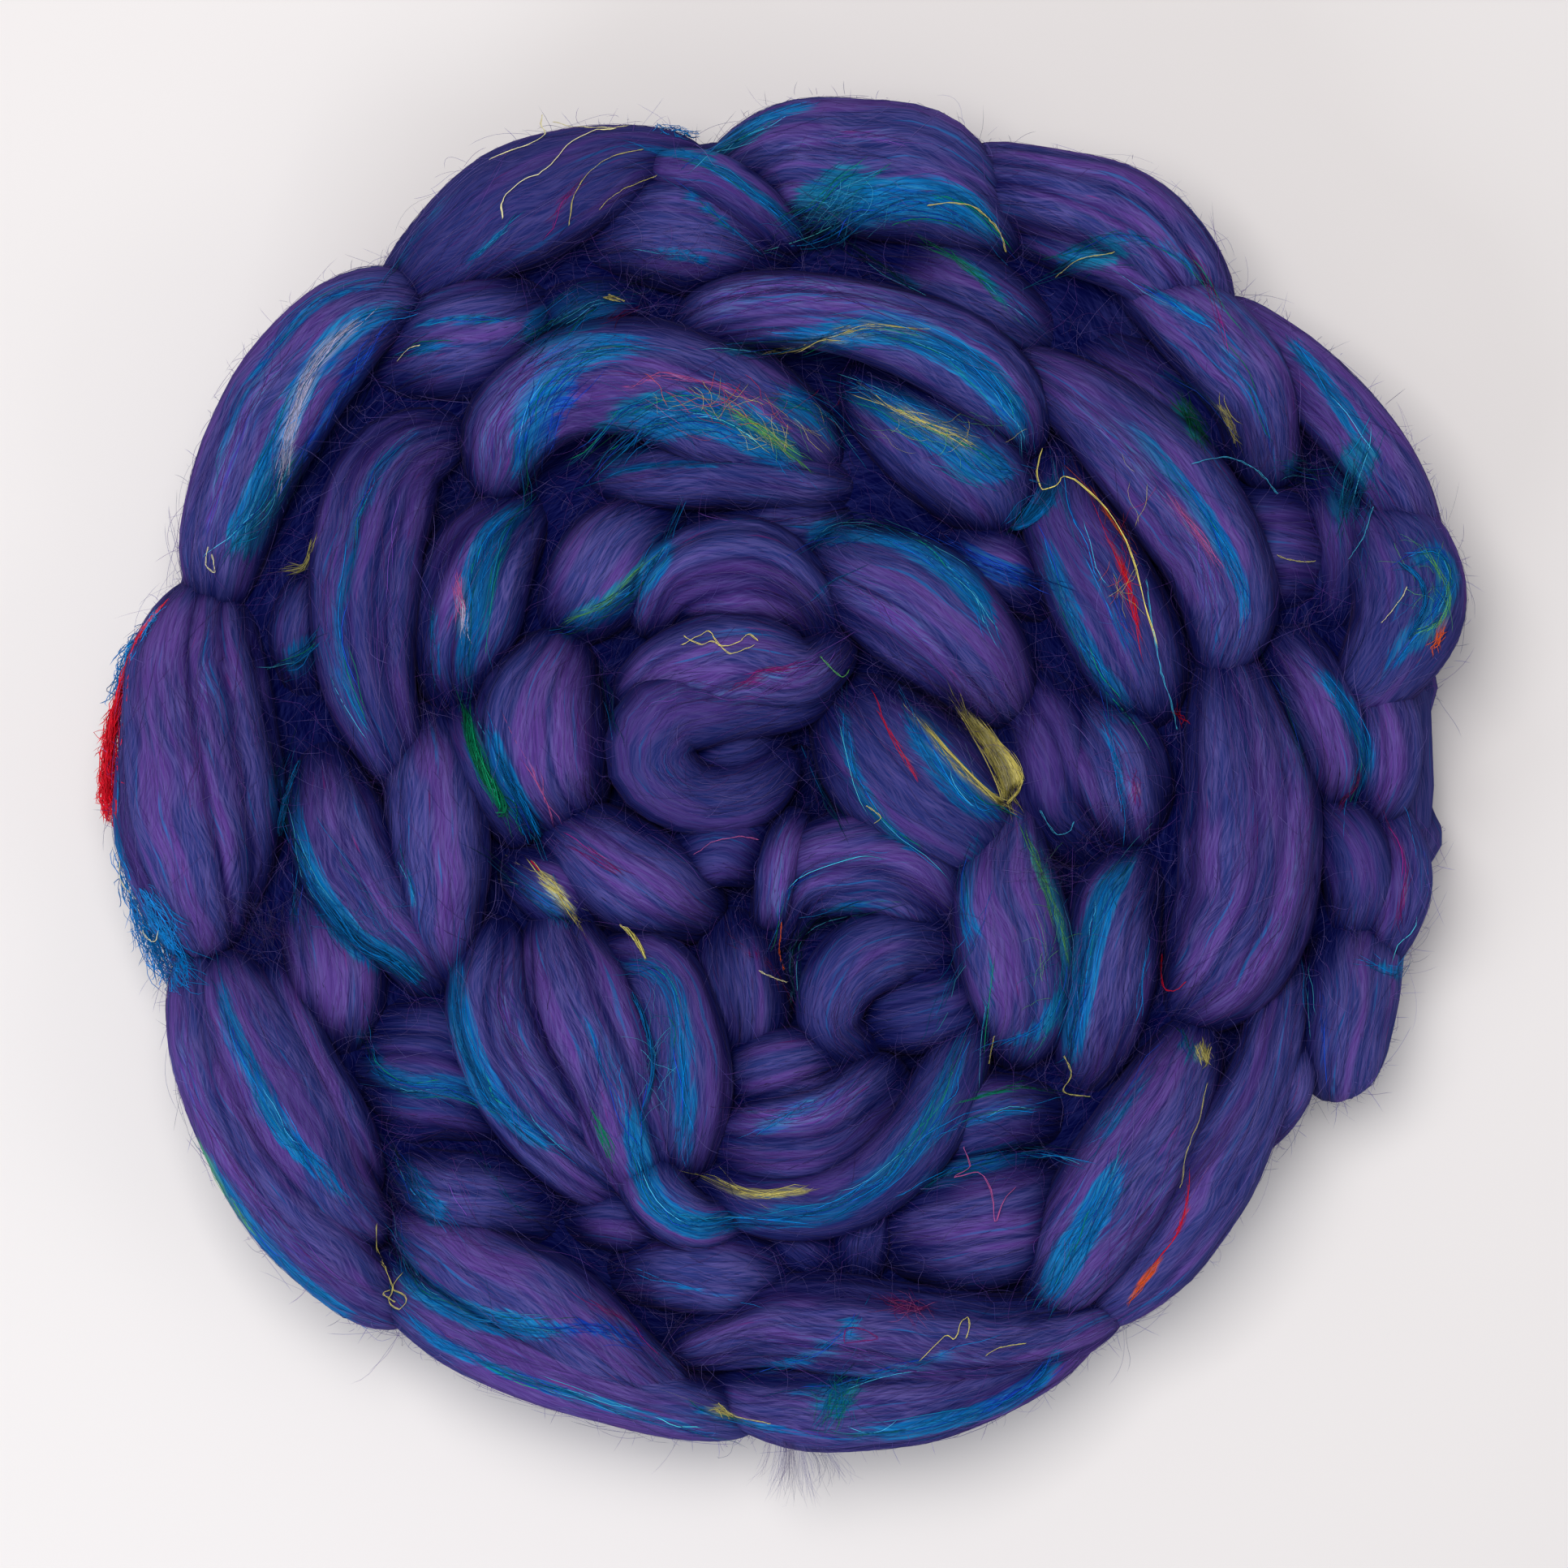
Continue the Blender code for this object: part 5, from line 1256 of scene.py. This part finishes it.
class Coil:
    """Every lobe, the cover over them and the random choices, shared by the operators."""

    made = None

    def __init__(self):
        self.sizes = bpy.context.scene.roving_sizes
        self.outer_turn = lobes_of(OUTER_TURN, 0)
        self.inner_turn = lobes_of(INNER_TURN, 100)
        self.middle = lobes_of(MIDDLE, 200)
        self.link_backs = back_lobes(300)
        self.tops = self.outer_turn + self.inner_turn + self.middle
        self.cover = Cover(self.tops + self.link_backs)
        self.random = np.random.default_rng(self.sizes.seed)
        self.wool = wool_skin()
        self.fibre = fibre_skin("single_fibres", 0.006, 0.3, (0.03, 0.02, 0.10), 0.65, 0.06)
        self.silk = fibre_skin("silk_fibres", 0.004, 0.1, (0.01, 0.03, 0.08), 0.45, 0.08)

    @classmethod
    def get(cls):
        """The coil, made once."""
        if cls.made is None:
            cls.made = cls()
        return cls.made

    def stain(self, lobe):
        """Silk colour and amount at every point of the lobe's skin."""
        points = lobe.skin
        total = np.zeros(points.shape[:2])
        mixed = np.zeros(points.shape)
        seen = points[..., 2] > self.cover.over(points) - STAINED_UNDER
        low = points.reshape(-1, 3).min(axis=0)
        high = points.reshape(-1, 3).max(axis=0)
        for name, width, amount, line in SILK:
            shares = np.linspace(0.0, 1.0, 8 * len(line))
            x, y = plan_line(line, shares)
            half = 0.5 * width * SQUARE
            if (x.max() < low[0] - half or x.min() > high[0] + half
                    or y.max() < low[1] - half or y.min() > high[1] + half):
                continue
            gaps = np.hypot(points[..., 0, None] - x, points[..., 1, None] - y)
            nearest = gaps.argmin(axis=-1)
            taper = band_taper(shares)[nearest]
            weight = amount * taper * np.clip(1.9 - gaps.min(axis=-1) / (half * (0.4 + 0.6 * taper)), 0.0, 1.0) * seen
            mixed += weight[..., None] * self.dye(name)
            total += weight
        mixed /= np.maximum(total, 1e-6)[..., None]
        return np.concatenate([mixed, np.clip(total, 0.0, 1.0)[..., None]], axis=-1)

    def group(self, name):
        """One piece of the lobes that are kept under its name."""
        meshes = []
        for lobe in getattr(self, name):
            # Painted shade: the colour keeps less in creases, on steep sides and along the grooves
            shade = self.openness(lobe.skin) * (1.0 - GROOVE_SHADE * lobe.groove)
            lobe.stained = self.stain(lobe)
            meshes.append(lobe_mesh(lobe, lobe.stained, shade, self.random.random()))
        return dressed(joined(name, meshes), self.wool)

    def openness(self, points):
        """Share of the light that the colour at the points keeps."""
        depth = self.cover.depth(points)
        steep = np.clip((self.cover.slope(points) - GENTLE_SLOPE) / 2.0, 0.0, 1.0)
        radius = np.maximum(np.hypot(points[..., 0], points[..., 1]), MM)
        outward = points[..., :2] * (1.0 + OUTWARD_STEP / radius)[..., None]
        inside = np.clip(self.cover.over(outward) / LOW_HEIGHT, 0.0, 1.0)
        # Painted shade: darker deep between lobes and on steep sides that face into the coil; hidden points at the
        # outline or near the floor keep more
        seen = np.clip(1.07 - DEEP_SHADE * depth, 0.0, 1.0) ** 1.5 * (1.0 - STEEP_SHADE * steep * inside)
        covered = np.clip((self.cover.over(points) - points[..., 2] - HIDDEN_UNDER) / 0.008, 0.0, 1.0)
        low = np.clip((0.014 - points[..., 2]) / 0.006, 0.0, 1.0)
        return np.maximum(seen, covered * np.maximum(0.75 * (1.0 - inside), 0.60 * low))

    def in_sight(self, middles, under, rim):
        """Whether fibres show: close under the cover, or out at the rim."""
        return (middles[:, 2] > self.cover.over(middles) - under) | (np.hypot(middles[:, 0], middles[:, 1]) > rim)

    def even(self, low, high, count):
        """A column of random numbers between two others."""
        return self.random.uniform(low, high, (count, 1))

    def scatter(self, spread, count):
        """A column of random numbers on both sides of zero."""
        return self.random.normal(0.0, spread, (count, 1))

    @staticmethod
    def dye(name):
        """One of the roving's colours."""
        return np.array(getattr(bpy.context.scene.roving_colours, name))

    def shares(self, back_share):
        """Lobes that carry fibres and the share of them that each gets; those of the backs get fewer."""
        lobes = self.tops + self.link_backs[:-1]
        areas = np.array([lobe.length * lobe.half_width for lobe in lobes])
        areas[len(self.tops):] *= back_share
        return zip(lobes, areas / areas.sum())

    def lit(self, points, least):
        """Painted shade on a fibre: the share of its colour that it keeps at the points, never under the least."""
        return least + (1.0 - least) * self.openness(points)

    def wool_tints(self, count):
        """A wool colour for each of a number of fibres."""
        c = bpy.context.scene.roving_colours
        choices = np.array([c.wool, c.wool_light, c.lavender, c.pale_hair])
        picks = self.random.choice(len(choices), count, p=(0.24, 0.30, 0.26, 0.20))
        return choices[picks] * self.even(0.8, 1.2, count)

    def hairs(self):
        """Locks of a few fibres that lie along the lobes."""
        paths = []
        stains = []
        steps = np.linspace(0.0, 1.0, 6)
        for lobe, share in self.shares(0.35):
            count = int(self.sizes.hair_count * share * 1.6)
            rows, columns, _ = lobe.skin.shape
            middle = self.random.uniform(0.04, 0.96, count)
            reach = self.random.uniform(*HAIR_REACHES, count) / lobe.length
            start = np.clip(middle - reach, 0.02, 0.98)
            end = np.clip(middle + reach, 0.02, 0.98)
            shares_along = start[:, None] + (end - start)[:, None] * steps
            row = np.interp(shares_along * lobe.length, lobe.along[1:-1], np.arange(1, rows - 1))
            column = self.random.uniform(0.14, 0.86, count)
            lean = self.random.normal(0.0, 1.0, count) * self.random.choice((0.045, 0.20), count, p=(0.65, 0.35))
            phase = self.even(0.0, math.tau, count)
            sway = self.scatter(0.012, count) * np.sin(phase + 5.0 * steps)
            turned = (lobe.turned(shares_along * lobe.length) - lobe.turned(middle * lobe.length)[:, None]) / lobe.girth
            column = (column[:, None] + lean[:, None] * (steps - 0.5) + sway + turned) * (columns - 1)
            lift = self.random.gamma(1.3, 0.00010, count)[:, None] * (0.4 + np.sin(math.pi * steps))
            skin = lobe.sample(row, column)
            normal = lobe.sample(row, column, lobe.normal)
            path = skin + normal * (lift[..., None] + self.sizes.hair_radius * 0.6)
            seen = self.in_sight(path[:, 3], 0.004, RIM_RADIUS)
            paths.append(path[seen])
            stains.append(lobe.sample(row[seen, 3], column[seen, 3], lobe.stained))
        paths = np.concatenate(paths)
        keep = self.random.permutation(len(paths))[:self.sizes.hair_count]
        paths = paths[keep]
        stains = np.concatenate(stains)[keep]
        radii = self.sizes.hair_radius * self.random.uniform(0.5, 1.3, len(paths))
        silk = 0.95 * stains[:, 3:] * (self.random.uniform(size=(len(paths), 1)) < 0.88)
        tints = self.wool_tints(len(paths)) * (1.0 - silk) + stains[:, :3] * self.even(0.6, 1.4, len(paths)) * silk
        return paths, radii, tints * self.lit(paths[:, 3], 0.1)[:, None]

    def strays(self):
        """Fine fibres that leave a lobe and curl off it."""
        steps = np.linspace(0.0, 1.0, 8)
        paths = []
        for lobe, share in self.shares(0.4):
            count = max(3, int(self.sizes.stray_count * share * 1.5))
            rows, columns, _ = lobe.skin.shape
            row = self.random.uniform(2.0, rows - 3.0, count)
            side = self.random.choice((-1.0, 1.0), count) * self.random.uniform(0.18, 0.36, count)
            even = self.random.uniform(-0.40, 0.40, count)
            column = (0.5 + np.where(self.random.uniform(size=count) < 0.55, side, even)) * (columns - 1)
            base = lobe.sample(row, column)
            normal = lobe.sample(row, column, lobe.normal)
            ahead = unit(lobe.sample(row + 0.9, column) - base) * self.random.choice((-1.0, 1.0), (count, 1))
            aside = np.cross(normal, ahead)
            length = self.even(*STRAY_LENGTHS, count)
            rise = np.abs(self.random.normal(0.0, 0.0018, count))[:, None]
            bend = self.scatter(0.0040, count)
            curl = self.scatter(0.0005, count)
            phase = self.even(0.0, math.tau, count)
            wave = curl * np.sin(phase + 7.0 * steps)
            path = (base[:, None] + ahead[:, None] * (length * steps)[..., None]
                    + normal[:, None] * (rise * np.sin(0.8 * math.pi * steps) + 0.0003)[..., None]
                    + aside[:, None] * (bend * steps ** 2 + wave)[..., None])
            paths.append(path[self.in_sight(path[:, 4], 0.006, RIM_RADIUS + 0.002)])
        paths = np.concatenate(paths)
        paths = paths[self.random.permutation(len(paths))[:self.sizes.stray_count]]
        radii = self.random.uniform(*STRAY_RADII, len(paths))
        return paths, radii, self.wool_tints(len(paths)) * 1.25 * self.lit(paths[:, 4], 0.3)[:, None]

    def fuzz(self):
        """Short fine fibres that stand out all round the outline."""
        wanted = self.sizes.fuzz_count
        starts = []
        outs = []
        for lobe in self.outer_turn + self.link_backs[:-1]:
            skin = lobe.skin[1:-1].reshape(-1, 3)
            normal = lobe.normal[1:-1].reshape(-1, 3)
            radial = unit(skin * (1.0, 1.0, 0.0))
            beyond = self.cover.over(skin + 0.004 * radial)
            edge = ((normal * radial).sum(axis=1) > 0.45) & (beyond < 0.006) & (skin[:, 2] > 0.006)
            starts.append(skin[edge])
            outs.append(unit(normal[edge] + 0.6 * radial[edge]))
        starts = np.concatenate(starts)
        outs = np.concatenate(outs)
        chosen = self.random.integers(0, len(starts), wanted)
        start = starts[chosen] + self.random.normal(0.0, 0.0012, (wanted, 3))
        out = outs[chosen] * self.even(0.3, 1.0, wanted) + self.random.normal(0.0, 0.55, (wanted, 3))
        start -= 0.0015 * outs[chosen]
        length = np.minimum(self.random.gamma(2.0, 0.001, (wanted, 1, 1)), LONGEST_FUZZ)
        steps = np.linspace(0.0, 1.0, 5)[None, :, None]
        bend = self.random.normal(0.0, 0.45, (wanted, 1, 3))
        paths = start[:, None] + length * (unit(out)[:, None] * steps + bend * steps ** 2)
        return paths, self.random.uniform(*FUZZ_RADII, wanted), self.wool_tints(wanted) * 1.4

    def bridges(self):
        """Fine fibres that lie across the creases."""
        tries = self.sizes.bridge_count * 7
        angle = self.random.uniform(0.0, math.tau, tries)
        radius = 0.165 * np.sqrt(self.random.uniform(0.0, 1.0, tries))
        x = radius * np.cos(angle)
        y = radius * np.sin(angle)
        place = np.stack([x, y, self.cover.at(x, y)], axis=-1)
        deep = self.cover.depth(place)
        chosen = np.argsort(-deep + self.random.uniform(0.0, 0.45, tries))[:self.sizes.bridge_count]
        x = x[chosen, None]
        y = y[chosen, None]
        count = len(chosen)
        steps = np.linspace(-1.0, 1.0, 7)
        heading = self.even(0.0, math.tau, count)
        half = self.random.gamma(3.0, 0.0018, count)[:, None]
        bend = self.scatter(0.55, count) * half
        wave = self.scatter(0.10, count) * half * np.sin(4.0 * steps + 40.0 * heading)
        along = half * steps
        off = bend * steps ** 2 + wave
        px = x + along * np.cos(heading) - off * np.sin(heading)
        py = y + along * np.sin(heading) + off * np.cos(heading)
        top = self.cover.at(px, py)
        left = top[:, :1]
        right = top[:, -1:]
        level = np.minimum(left, right) + 0.002
        line = np.minimum(left + (right - left) * (steps + 1.0) / 2.0, level)
        sag = self.even(0.35, 0.9, count)
        z = np.maximum(top + 0.0003, sag * line + (1.0 - sag) * top)
        paths = np.stack([px, py, z], axis=-1)
        radii = self.random.uniform(*BRIDGE_RADII, count)
        return paths, radii, self.wool_tints(count) * 1.05

    def locks(self):
        """Locks of silk fibres over each band of silk."""
        paths = []
        tints = []
        steps = np.linspace(0.0, 1.0, 7)
        for name, width, amount, line in SILK:
            x, y = plan_line(line, np.linspace(0.0, 1.0, 30))
            length = np.hypot(np.diff(x), np.diff(y)).sum()
            bright = name in ("straw", "yellow", "cream", "orange", "red", "pink", "lilac_white", "emerald", "lime")
            count = int(2 + (26.0 if bright else 14.5) * amount * width * max(0.6, length / 0.035))
            if name == "lavender":
                count = int(count * 0.5)
            middle = self.random.beta(1.6, 1.6, count)
            aside = self.random.normal(0.0, 0.28, count) * width * SQUARE * (0.3 + 0.7 * band_taper(middle))
            span = np.minimum(self.random.uniform(*LOCK_LENGTHS, count) / max(length, 0.002), 1.1)
            shares = middle[:, None] + span[:, None] * (steps - 0.5)
            inside = np.clip(shares, 0.0, 1.0)
            px, py, forward_x, forward_y = plan_run(line, inside)
            beyond = (shares - inside) * length
            drift = self.scatter(0.14, count) * width * SQUARE * (steps - 0.5) * 2.0
            phase = self.even(0.0, 6.3, count)
            wave = self.scatter(0.00035, count) * np.sin(phase + 8.0 * steps)
            bow = self.scatter(0.0008, count) * (steps - 0.5) ** 2 * 4.0
            off = aside[:, None] + drift + wave + bow
            px = px + forward_x * beyond - off * forward_y
            py = py + forward_y * beyond + off * forward_x
            lift = self.random.gamma(1.5, 0.00011, count)[:, None]
            paths.append(drape(self.cover, px, py, lift))
            base = self.dye(name)[None].repeat(count, axis=0)
            if name in ("turquoise", "teal"):
                other = self.random.choice(5, count, p=(0.66, 0.12, 0.12, 0.05, 0.05))
                others = [self.dye(shade) for shade in ("royal", "teal", "pale_blue", "emerald")]
                base = np.array([base[0], *others])[other]
            spread = 0.15 if bright else 0.45
            tone = np.clip(self.random.lognormal(0.0, spread, (count, 1)), 0.4, 2.2)
            tints.append(np.clip(base * tone, 0.0, 1.0))
        paths = np.concatenate(paths)
        held = on_coil(self.cover, paths)
        paths = paths[held]
        tints = np.concatenate(tints)[held]
        bright = tints.max(axis=1) > 0.5
        tints *= self.lit(paths[:, 3], np.where(bright, 0.45, 0.1))[:, None]
        radii = self.random.uniform(*LOCK_RADII, len(paths))
        return paths, radii, tints

    def fans(self):
        """Silk that fans out from a root."""
        steps = np.linspace(0.0, 1.0, 8)
        paths = []
        tints = []
        radii = []
        for name, count, radius_mm, *ends in FANS:
            share = self.even(0.0, 1.0, count)
            loose = 0.1 + 0.1 * math.dist(*ends[2])
            places = [np.array(first) * (1 - share) + np.array(last) * share for first, last in ends]
            places = [place + loose * part * self.random.normal(0.0, 1.0, (count, 2))
                      for place, part in zip(places, (0.3, 0.4, 1.0))]
            reach = self.random.triangular(0.35, 0.95, 1.05, (count, 1)) * steps
            weights = ((1 - reach) * (1 - 2 * reach), 4 * reach * (1 - reach), reach * (2 * reach - 1))
            places = sum(weight[..., None] * place[:, None] for weight, place in zip(weights, places))
            x, y = plan_places(places[..., 0], places[..., 1])
            lift = self.even(0.0003, 0.0014, count)
            paths.append(drape(self.cover, x, y, lift))
            # Painted shade and highlight: the fan's fibres run lighter and darker across it, as on folded satin
            shaded = 0.72 + 0.28 * np.cos(7.0 * share)
            tints.append(self.dye(name) * shaded * self.even(0.85, 1.15, count))
            radii.append(radius_mm * MM * self.random.uniform(0.7, 1.3, count))
        return np.concatenate(paths), np.concatenate(radii), np.concatenate(tints)

    def ropes(self):
        """Silk fibres wound loosely round a line."""
        steps = np.linspace(-1.0, 1.0, 10)
        paths = []
        tints = []
        for name, count, half_mm, twists, line in ROPES:
            middle = self.even(0.12, 0.88, count)
            reach = self.even(0.10, 0.35, count)
            shares = np.clip(middle + reach * steps, 0.0, 1.0)
            x, y, forward_x, forward_y = plan_run(line, shares)
            turn = self.even(0.0, math.tau, count) + math.tau * twists * shares
            out = np.sqrt(self.even(0.1, 1.0, count)) * (0.35 + 0.65 * band_taper(shares))
            turn = turn + self.scatter(0.5, count) * np.sin(3.0 * shares * math.pi)
            off = MM * half_mm * (out * np.cos(turn) + self.scatter(0.25, count) * steps ** 2)
            x = x - off * forward_y
            y = y + off * forward_x
            lift = 0.0003 + MM * half_mm * (0.9 + out * np.sin(turn))
            paths.append(drape(self.cover, x, y, lift))
            # Painted shade and highlight: fibres are lighter where they wind over the rope's top and darker where they
            # wind under it
            shaded = 0.60 + 0.40 * np.sin(turn[:, 5:6])
            tone = self.random.lognormal(0.0, 0.4, (count, 1)) * shaded.clip(0.35, 1.0)
            tints.append(self.dye(name) * tone)
        paths = np.concatenate(paths)
        return paths, self.random.uniform(*ROPE_RADII, len(paths)), np.concatenate(tints)

    def tangles(self):
        """Fine curled silk fibres in loose tangles."""
        points = 10
        paths = []
        tints = []
        for names, count, middle, halves, degrees in TANGLES:
            spot = self.random.normal(0.0, 0.5, (count, 2)) * halves
            heading = math.radians(degrees) + self.random.normal(0.0, 0.30, count)
            turning = self.scatter(0.07, count) + self.random.normal(0.0, 0.20, (count, points))
            angle = heading[:, None] + np.cumsum(turning, axis=1)
            step = self.even(0.25, 0.75, count)
            along = np.cumsum(step * np.cos(angle), axis=1)
            away = np.cumsum(step * np.sin(angle), axis=1)
            across = middle[0] + spot[:, :1] + along - along.mean(axis=1, keepdims=True)
            down = middle[1] + spot[:, 1:] - away + away.mean(axis=1, keepdims=True)
            x, y = plan_places(across, down)
            lift = self.even(0.0002, 0.0012, count)
            paths.append(drape(self.cover, x, y, lift))
            picks = self.random.integers(0, len(names), count)
            palette = np.array([self.dye(name) for name in names])
            tints.append(palette[picks] * self.even(0.7, 1.3, count))
        paths = np.concatenate(paths)
        held = on_coil(self.cover, paths)
        paths = paths[held]
        tints = np.concatenate(tints)[held] * self.lit(paths[:, points // 2], 0.35)[:, None]
        return paths, self.random.uniform(*TANGLE_RADII, len(paths)), tints

    def threads(self):
        """Loose silk threads, each of three strands side by side."""
        steps = np.linspace(0.0, 1.0, 36)
        paths = []
        radii = []
        tints = []
        for name, radius_mm, line in THREADS:
            x, y = plan_line(line, steps)
            kinked = min(0.00015, 0.12 * np.hypot(np.diff(x), np.diff(y)).mean())
            kinks = np.cumsum(self.random.normal(0.0, kinked, (2, len(steps))), axis=1)
            kinks -= np.linspace(kinks[:, 0], kinks[:, -1], len(steps), axis=1)
            for strand in range(3):
                side = STRAND_APART * (strand - 1)
                wave = STRAND_APART * np.sin(steps * 30.0 + strand * 2.1 + 9.0 * x[0] / SQUARE)
                px = x + side + wave + kinks[0]
                py = y + side * 0.6 + wave + kinks[1]
                paths.append(drape(self.cover, px[None], py[None], 0.0007 + 0.0001 * strand)[0])
                radii.append(radius_mm * MM * STRAND_SHARE)
                tints.append(self.dye(name) * (0.85 + 0.15 * strand))
        return np.array(paths), np.array(radii), np.array(tints)

    def tufts(self):
        """Tufts of silk at the coil's edge."""
        steps = np.linspace(0.0, 1.0, 8)
        paths = []
        tints = []
        for name, count, line, spread, height_mm in TUFTS:
            span = self.random.uniform(0.12, 0.45, count)
            start = self.random.uniform(0.0, 1.0, count) * (1.0 - span)
            shares = start[:, None] + span[:, None] * steps
            px, py = plan_line(line, shares)
            full = 0.35 + 0.65 * band_taper(shares)
            off = self.scatter(0.32, count) * spread * SQUARE * full
            phase = self.random.uniform(0.0, math.tau, (2, count, 1))
            curl = self.random.gamma(2.0, 0.10, (2, count, 1)) * min(spread, 1.5, 3.0 / spread) * SQUARE
            curl = curl * np.sin(phase + 7.0 * steps)
            fray = self.scatter(0.4, count) * spread * SQUARE * steps ** 2
            px = px + off + fray + curl[0]
            py = py + 0.5 * off + curl[1]
            z = height_mm * MM + self.scatter(0.0022, count) + 0.001 * np.sin(6.0 * steps)
            z = np.maximum(z, self.cover.at(px, py) + FIBRE_FLOOR)
            paths.append(np.stack([px, py, z], axis=-1))
            tints.append(self.dye(name) * self.random.lognormal(0.28, 0.3, (count, 1)))
        paths = np.concatenate(paths)
        radii = self.random.uniform(*TUFT_RADII, len(paths))
        return paths, radii, np.concatenate(tints)


# ---- operators

class ROVING_OT_outer_turn(bpy.types.Operator):
    """Lobes of the outer turn of the plait"""

    bl_idname = "roving.outer_turn"
    bl_label = "Outer turn"

    def execute(self, context):
        Coil.get().group("outer_turn")
        return {"FINISHED"}


class ROVING_OT_inner_turn(bpy.types.Operator):
    """Lobes of the inner turn of the plait"""

    bl_idname = "roving.inner_turn"
    bl_label = "Inner turn"

    def execute(self, context):
        Coil.get().group("inner_turn")
        return {"FINISHED"}


class ROVING_OT_middle(bpy.types.Operator):
    """Lobes and end curl at the middle of the coil"""

    bl_idname = "roving.middle"
    bl_label = "Middle"

    def execute(self, context):
        Coil.get().group("middle")
        return {"FINISHED"}


class ROVING_OT_backs(bpy.types.Operator):
    """Backs of the plait's links, and the strand through their middles"""

    bl_idname = "roving.backs"
    bl_label = "Links' backs"

    def execute(self, context):
        Coil.get().group("link_backs")
        return {"FINISHED"}


class ROVING_OT_silk(bpy.types.Operator):
    """Locks of silk over the bands of silk, tufts at the edge and loose threads"""

    bl_idname = "roving.silk"
    bl_label = "Silk"

    def execute(self, context):
        coil = Coil.get()
        for kind in ("locks", "tufts", "fans", "ropes", "tangles", "threads"):
            paths, radii, tints = getattr(coil, kind)()
            fibres(f"silk_{kind}", paths, radii, np.clip(tints, 0.0, 1.0), coil.silk)
        return {"FINISHED"}


class ROVING_OT_fibres(bpy.types.Operator):
    """Locks of wool along the lobes, strays off them and fine fibres across the creases"""

    bl_idname = "roving.fibres"
    bl_label = "Wool fibres"

    def execute(self, context):
        coil = Coil.get()
        paths, radii, tints = coil.hairs()
        half = len(paths) // 2
        for name, part in (("wool_locks_a", slice(half)), ("wool_locks_b", slice(half, None))):
            fibres(name, paths[part], radii[part], tints[part], coil.fibre)
        for name, made in (
                ("stray_fibres", coil.strays), ("outline_fuzz", coil.fuzz), ("bridging_fibres", coil.bridges)):
            fibres(name, *made(), coil.fibre)
        return {"FINISHED"}


class ROVING_OT_stage(bpy.types.Operator):
    """Pale floor, soft studio light and the camera straight above"""

    bl_idname = "roving.stage"
    bl_label = "Stage"

    def execute(self, context):
        self.floor()
        self.lights(context)
        self.camera(context)
        return {"FINISHED"}

    def floor(self):
        work = bmesh.new()
        bmesh.ops.create_grid(work, x_segments=1, y_segments=1, size=3.0)
        mesh = bpy.data.meshes.new("floor")
        work.to_mesh(mesh)
        work.free()
        mesh.materials.append(floor_skin())
        floor = placed("floor", mesh)

    def lights(self, context):
        context.scene.view_settings.view_transform = "Standard"
        world = bpy.data.worlds.new("studio")
        bpy.context.scene.world = world
        world.use_nodes = True
        backdrop = world.node_tree.nodes["Background"]
        backdrop.inputs["Color"].default_value = (0.90, 0.93, 1.0, 1.0)
        backdrop.inputs["Strength"].default_value = 0.30
        for name, place, side, watts, tint in (
            ("softbox_over", (-0.22, 0.30, 1.30), 0.8, 13.6, (1.0, 1.0, 1.0)),
            ("softbox_right", (1.0, -0.35, 0.75), 0.7, 2.2, (1.0, 1.0, 1.0)),
            ("softbox_left", (-0.70, -1.00, 0.65), 0.7, 8.0, (0.86, 0.93, 1.0)),
        ):
            light = bpy.data.lights.new(name, "AREA")
            light.shape = "SQUARE"
            light.size = side
            light.energy = watts
            light.color = tint
            lamp = placed(name, light)
            lamp.location = place
            lamp.rotation_euler = (-Vector(place)).to_track_quat("-Z", "Y").to_euler()

    def camera(self, context):
        sizes = context.scene.roving_sizes
        lens = bpy.data.cameras.new("camera")
        lens.sensor_fit = "HORIZONTAL"
        lens.sensor_width = SENSOR_WIDTH
        lens.lens = SENSOR_WIDTH * (sizes.camera_height - SCALED_AT) / sizes.picture_width
        lens.clip_start = 0.01
        camera = placed("camera", lens)
        camera.location = (*plan_places(PICTURE_MIDDLE, PICTURE_MIDDLE), sizes.camera_height)
        context.scene.camera = camera


class ROVING_PT_panel(bpy.types.Panel):
    """The roving's pieces, sizes and colours"""

    bl_idname = "ROVING_PT_panel"
    bl_label = "Wool roving"
    bl_space_type = "VIEW_3D"
    bl_region_type = "UI"
    bl_category = "Roving"

    def draw(self, context):
        for operator in OPERATORS:
            self.layout.operator(operator.bl_idname)
        for group in (context.scene.roving_sizes, context.scene.roving_colours):
            for name in group.__annotations__:
                self.layout.prop(group, name)


OPERATORS = (
    ROVING_OT_outer_turn,
    ROVING_OT_inner_turn,
    ROVING_OT_middle,
    ROVING_OT_backs,
    ROVING_OT_silk,
    ROVING_OT_fibres,
    ROVING_OT_stage,
)
CLASSES = (ROVING_PG_colours, ROVING_PG_sizes, *OPERATORS, ROVING_PT_panel)


def register():
    for cls in CLASSES:
        bpy.utils.register_class(cls)
    bpy.types.Scene.roving_colours = PointerProperty(type=ROVING_PG_colours)
    bpy.types.Scene.roving_sizes = PointerProperty(type=ROVING_PG_sizes)


def unregister():
    del bpy.types.Scene.roving_sizes
    del bpy.types.Scene.roving_colours
    for cls in reversed(CLASSES):
        bpy.utils.unregister_class(cls)


def main():
    register()
    bpy.ops.roving.outer_turn()
    bpy.ops.roving.inner_turn()
    bpy.ops.roving.middle()
    bpy.ops.roving.backs()
    bpy.ops.roving.silk()
    bpy.ops.roving.fibres()
    bpy.ops.roving.stage()
    bpy.context.view_layer.update()


if __name__ == "__main__":
    main()
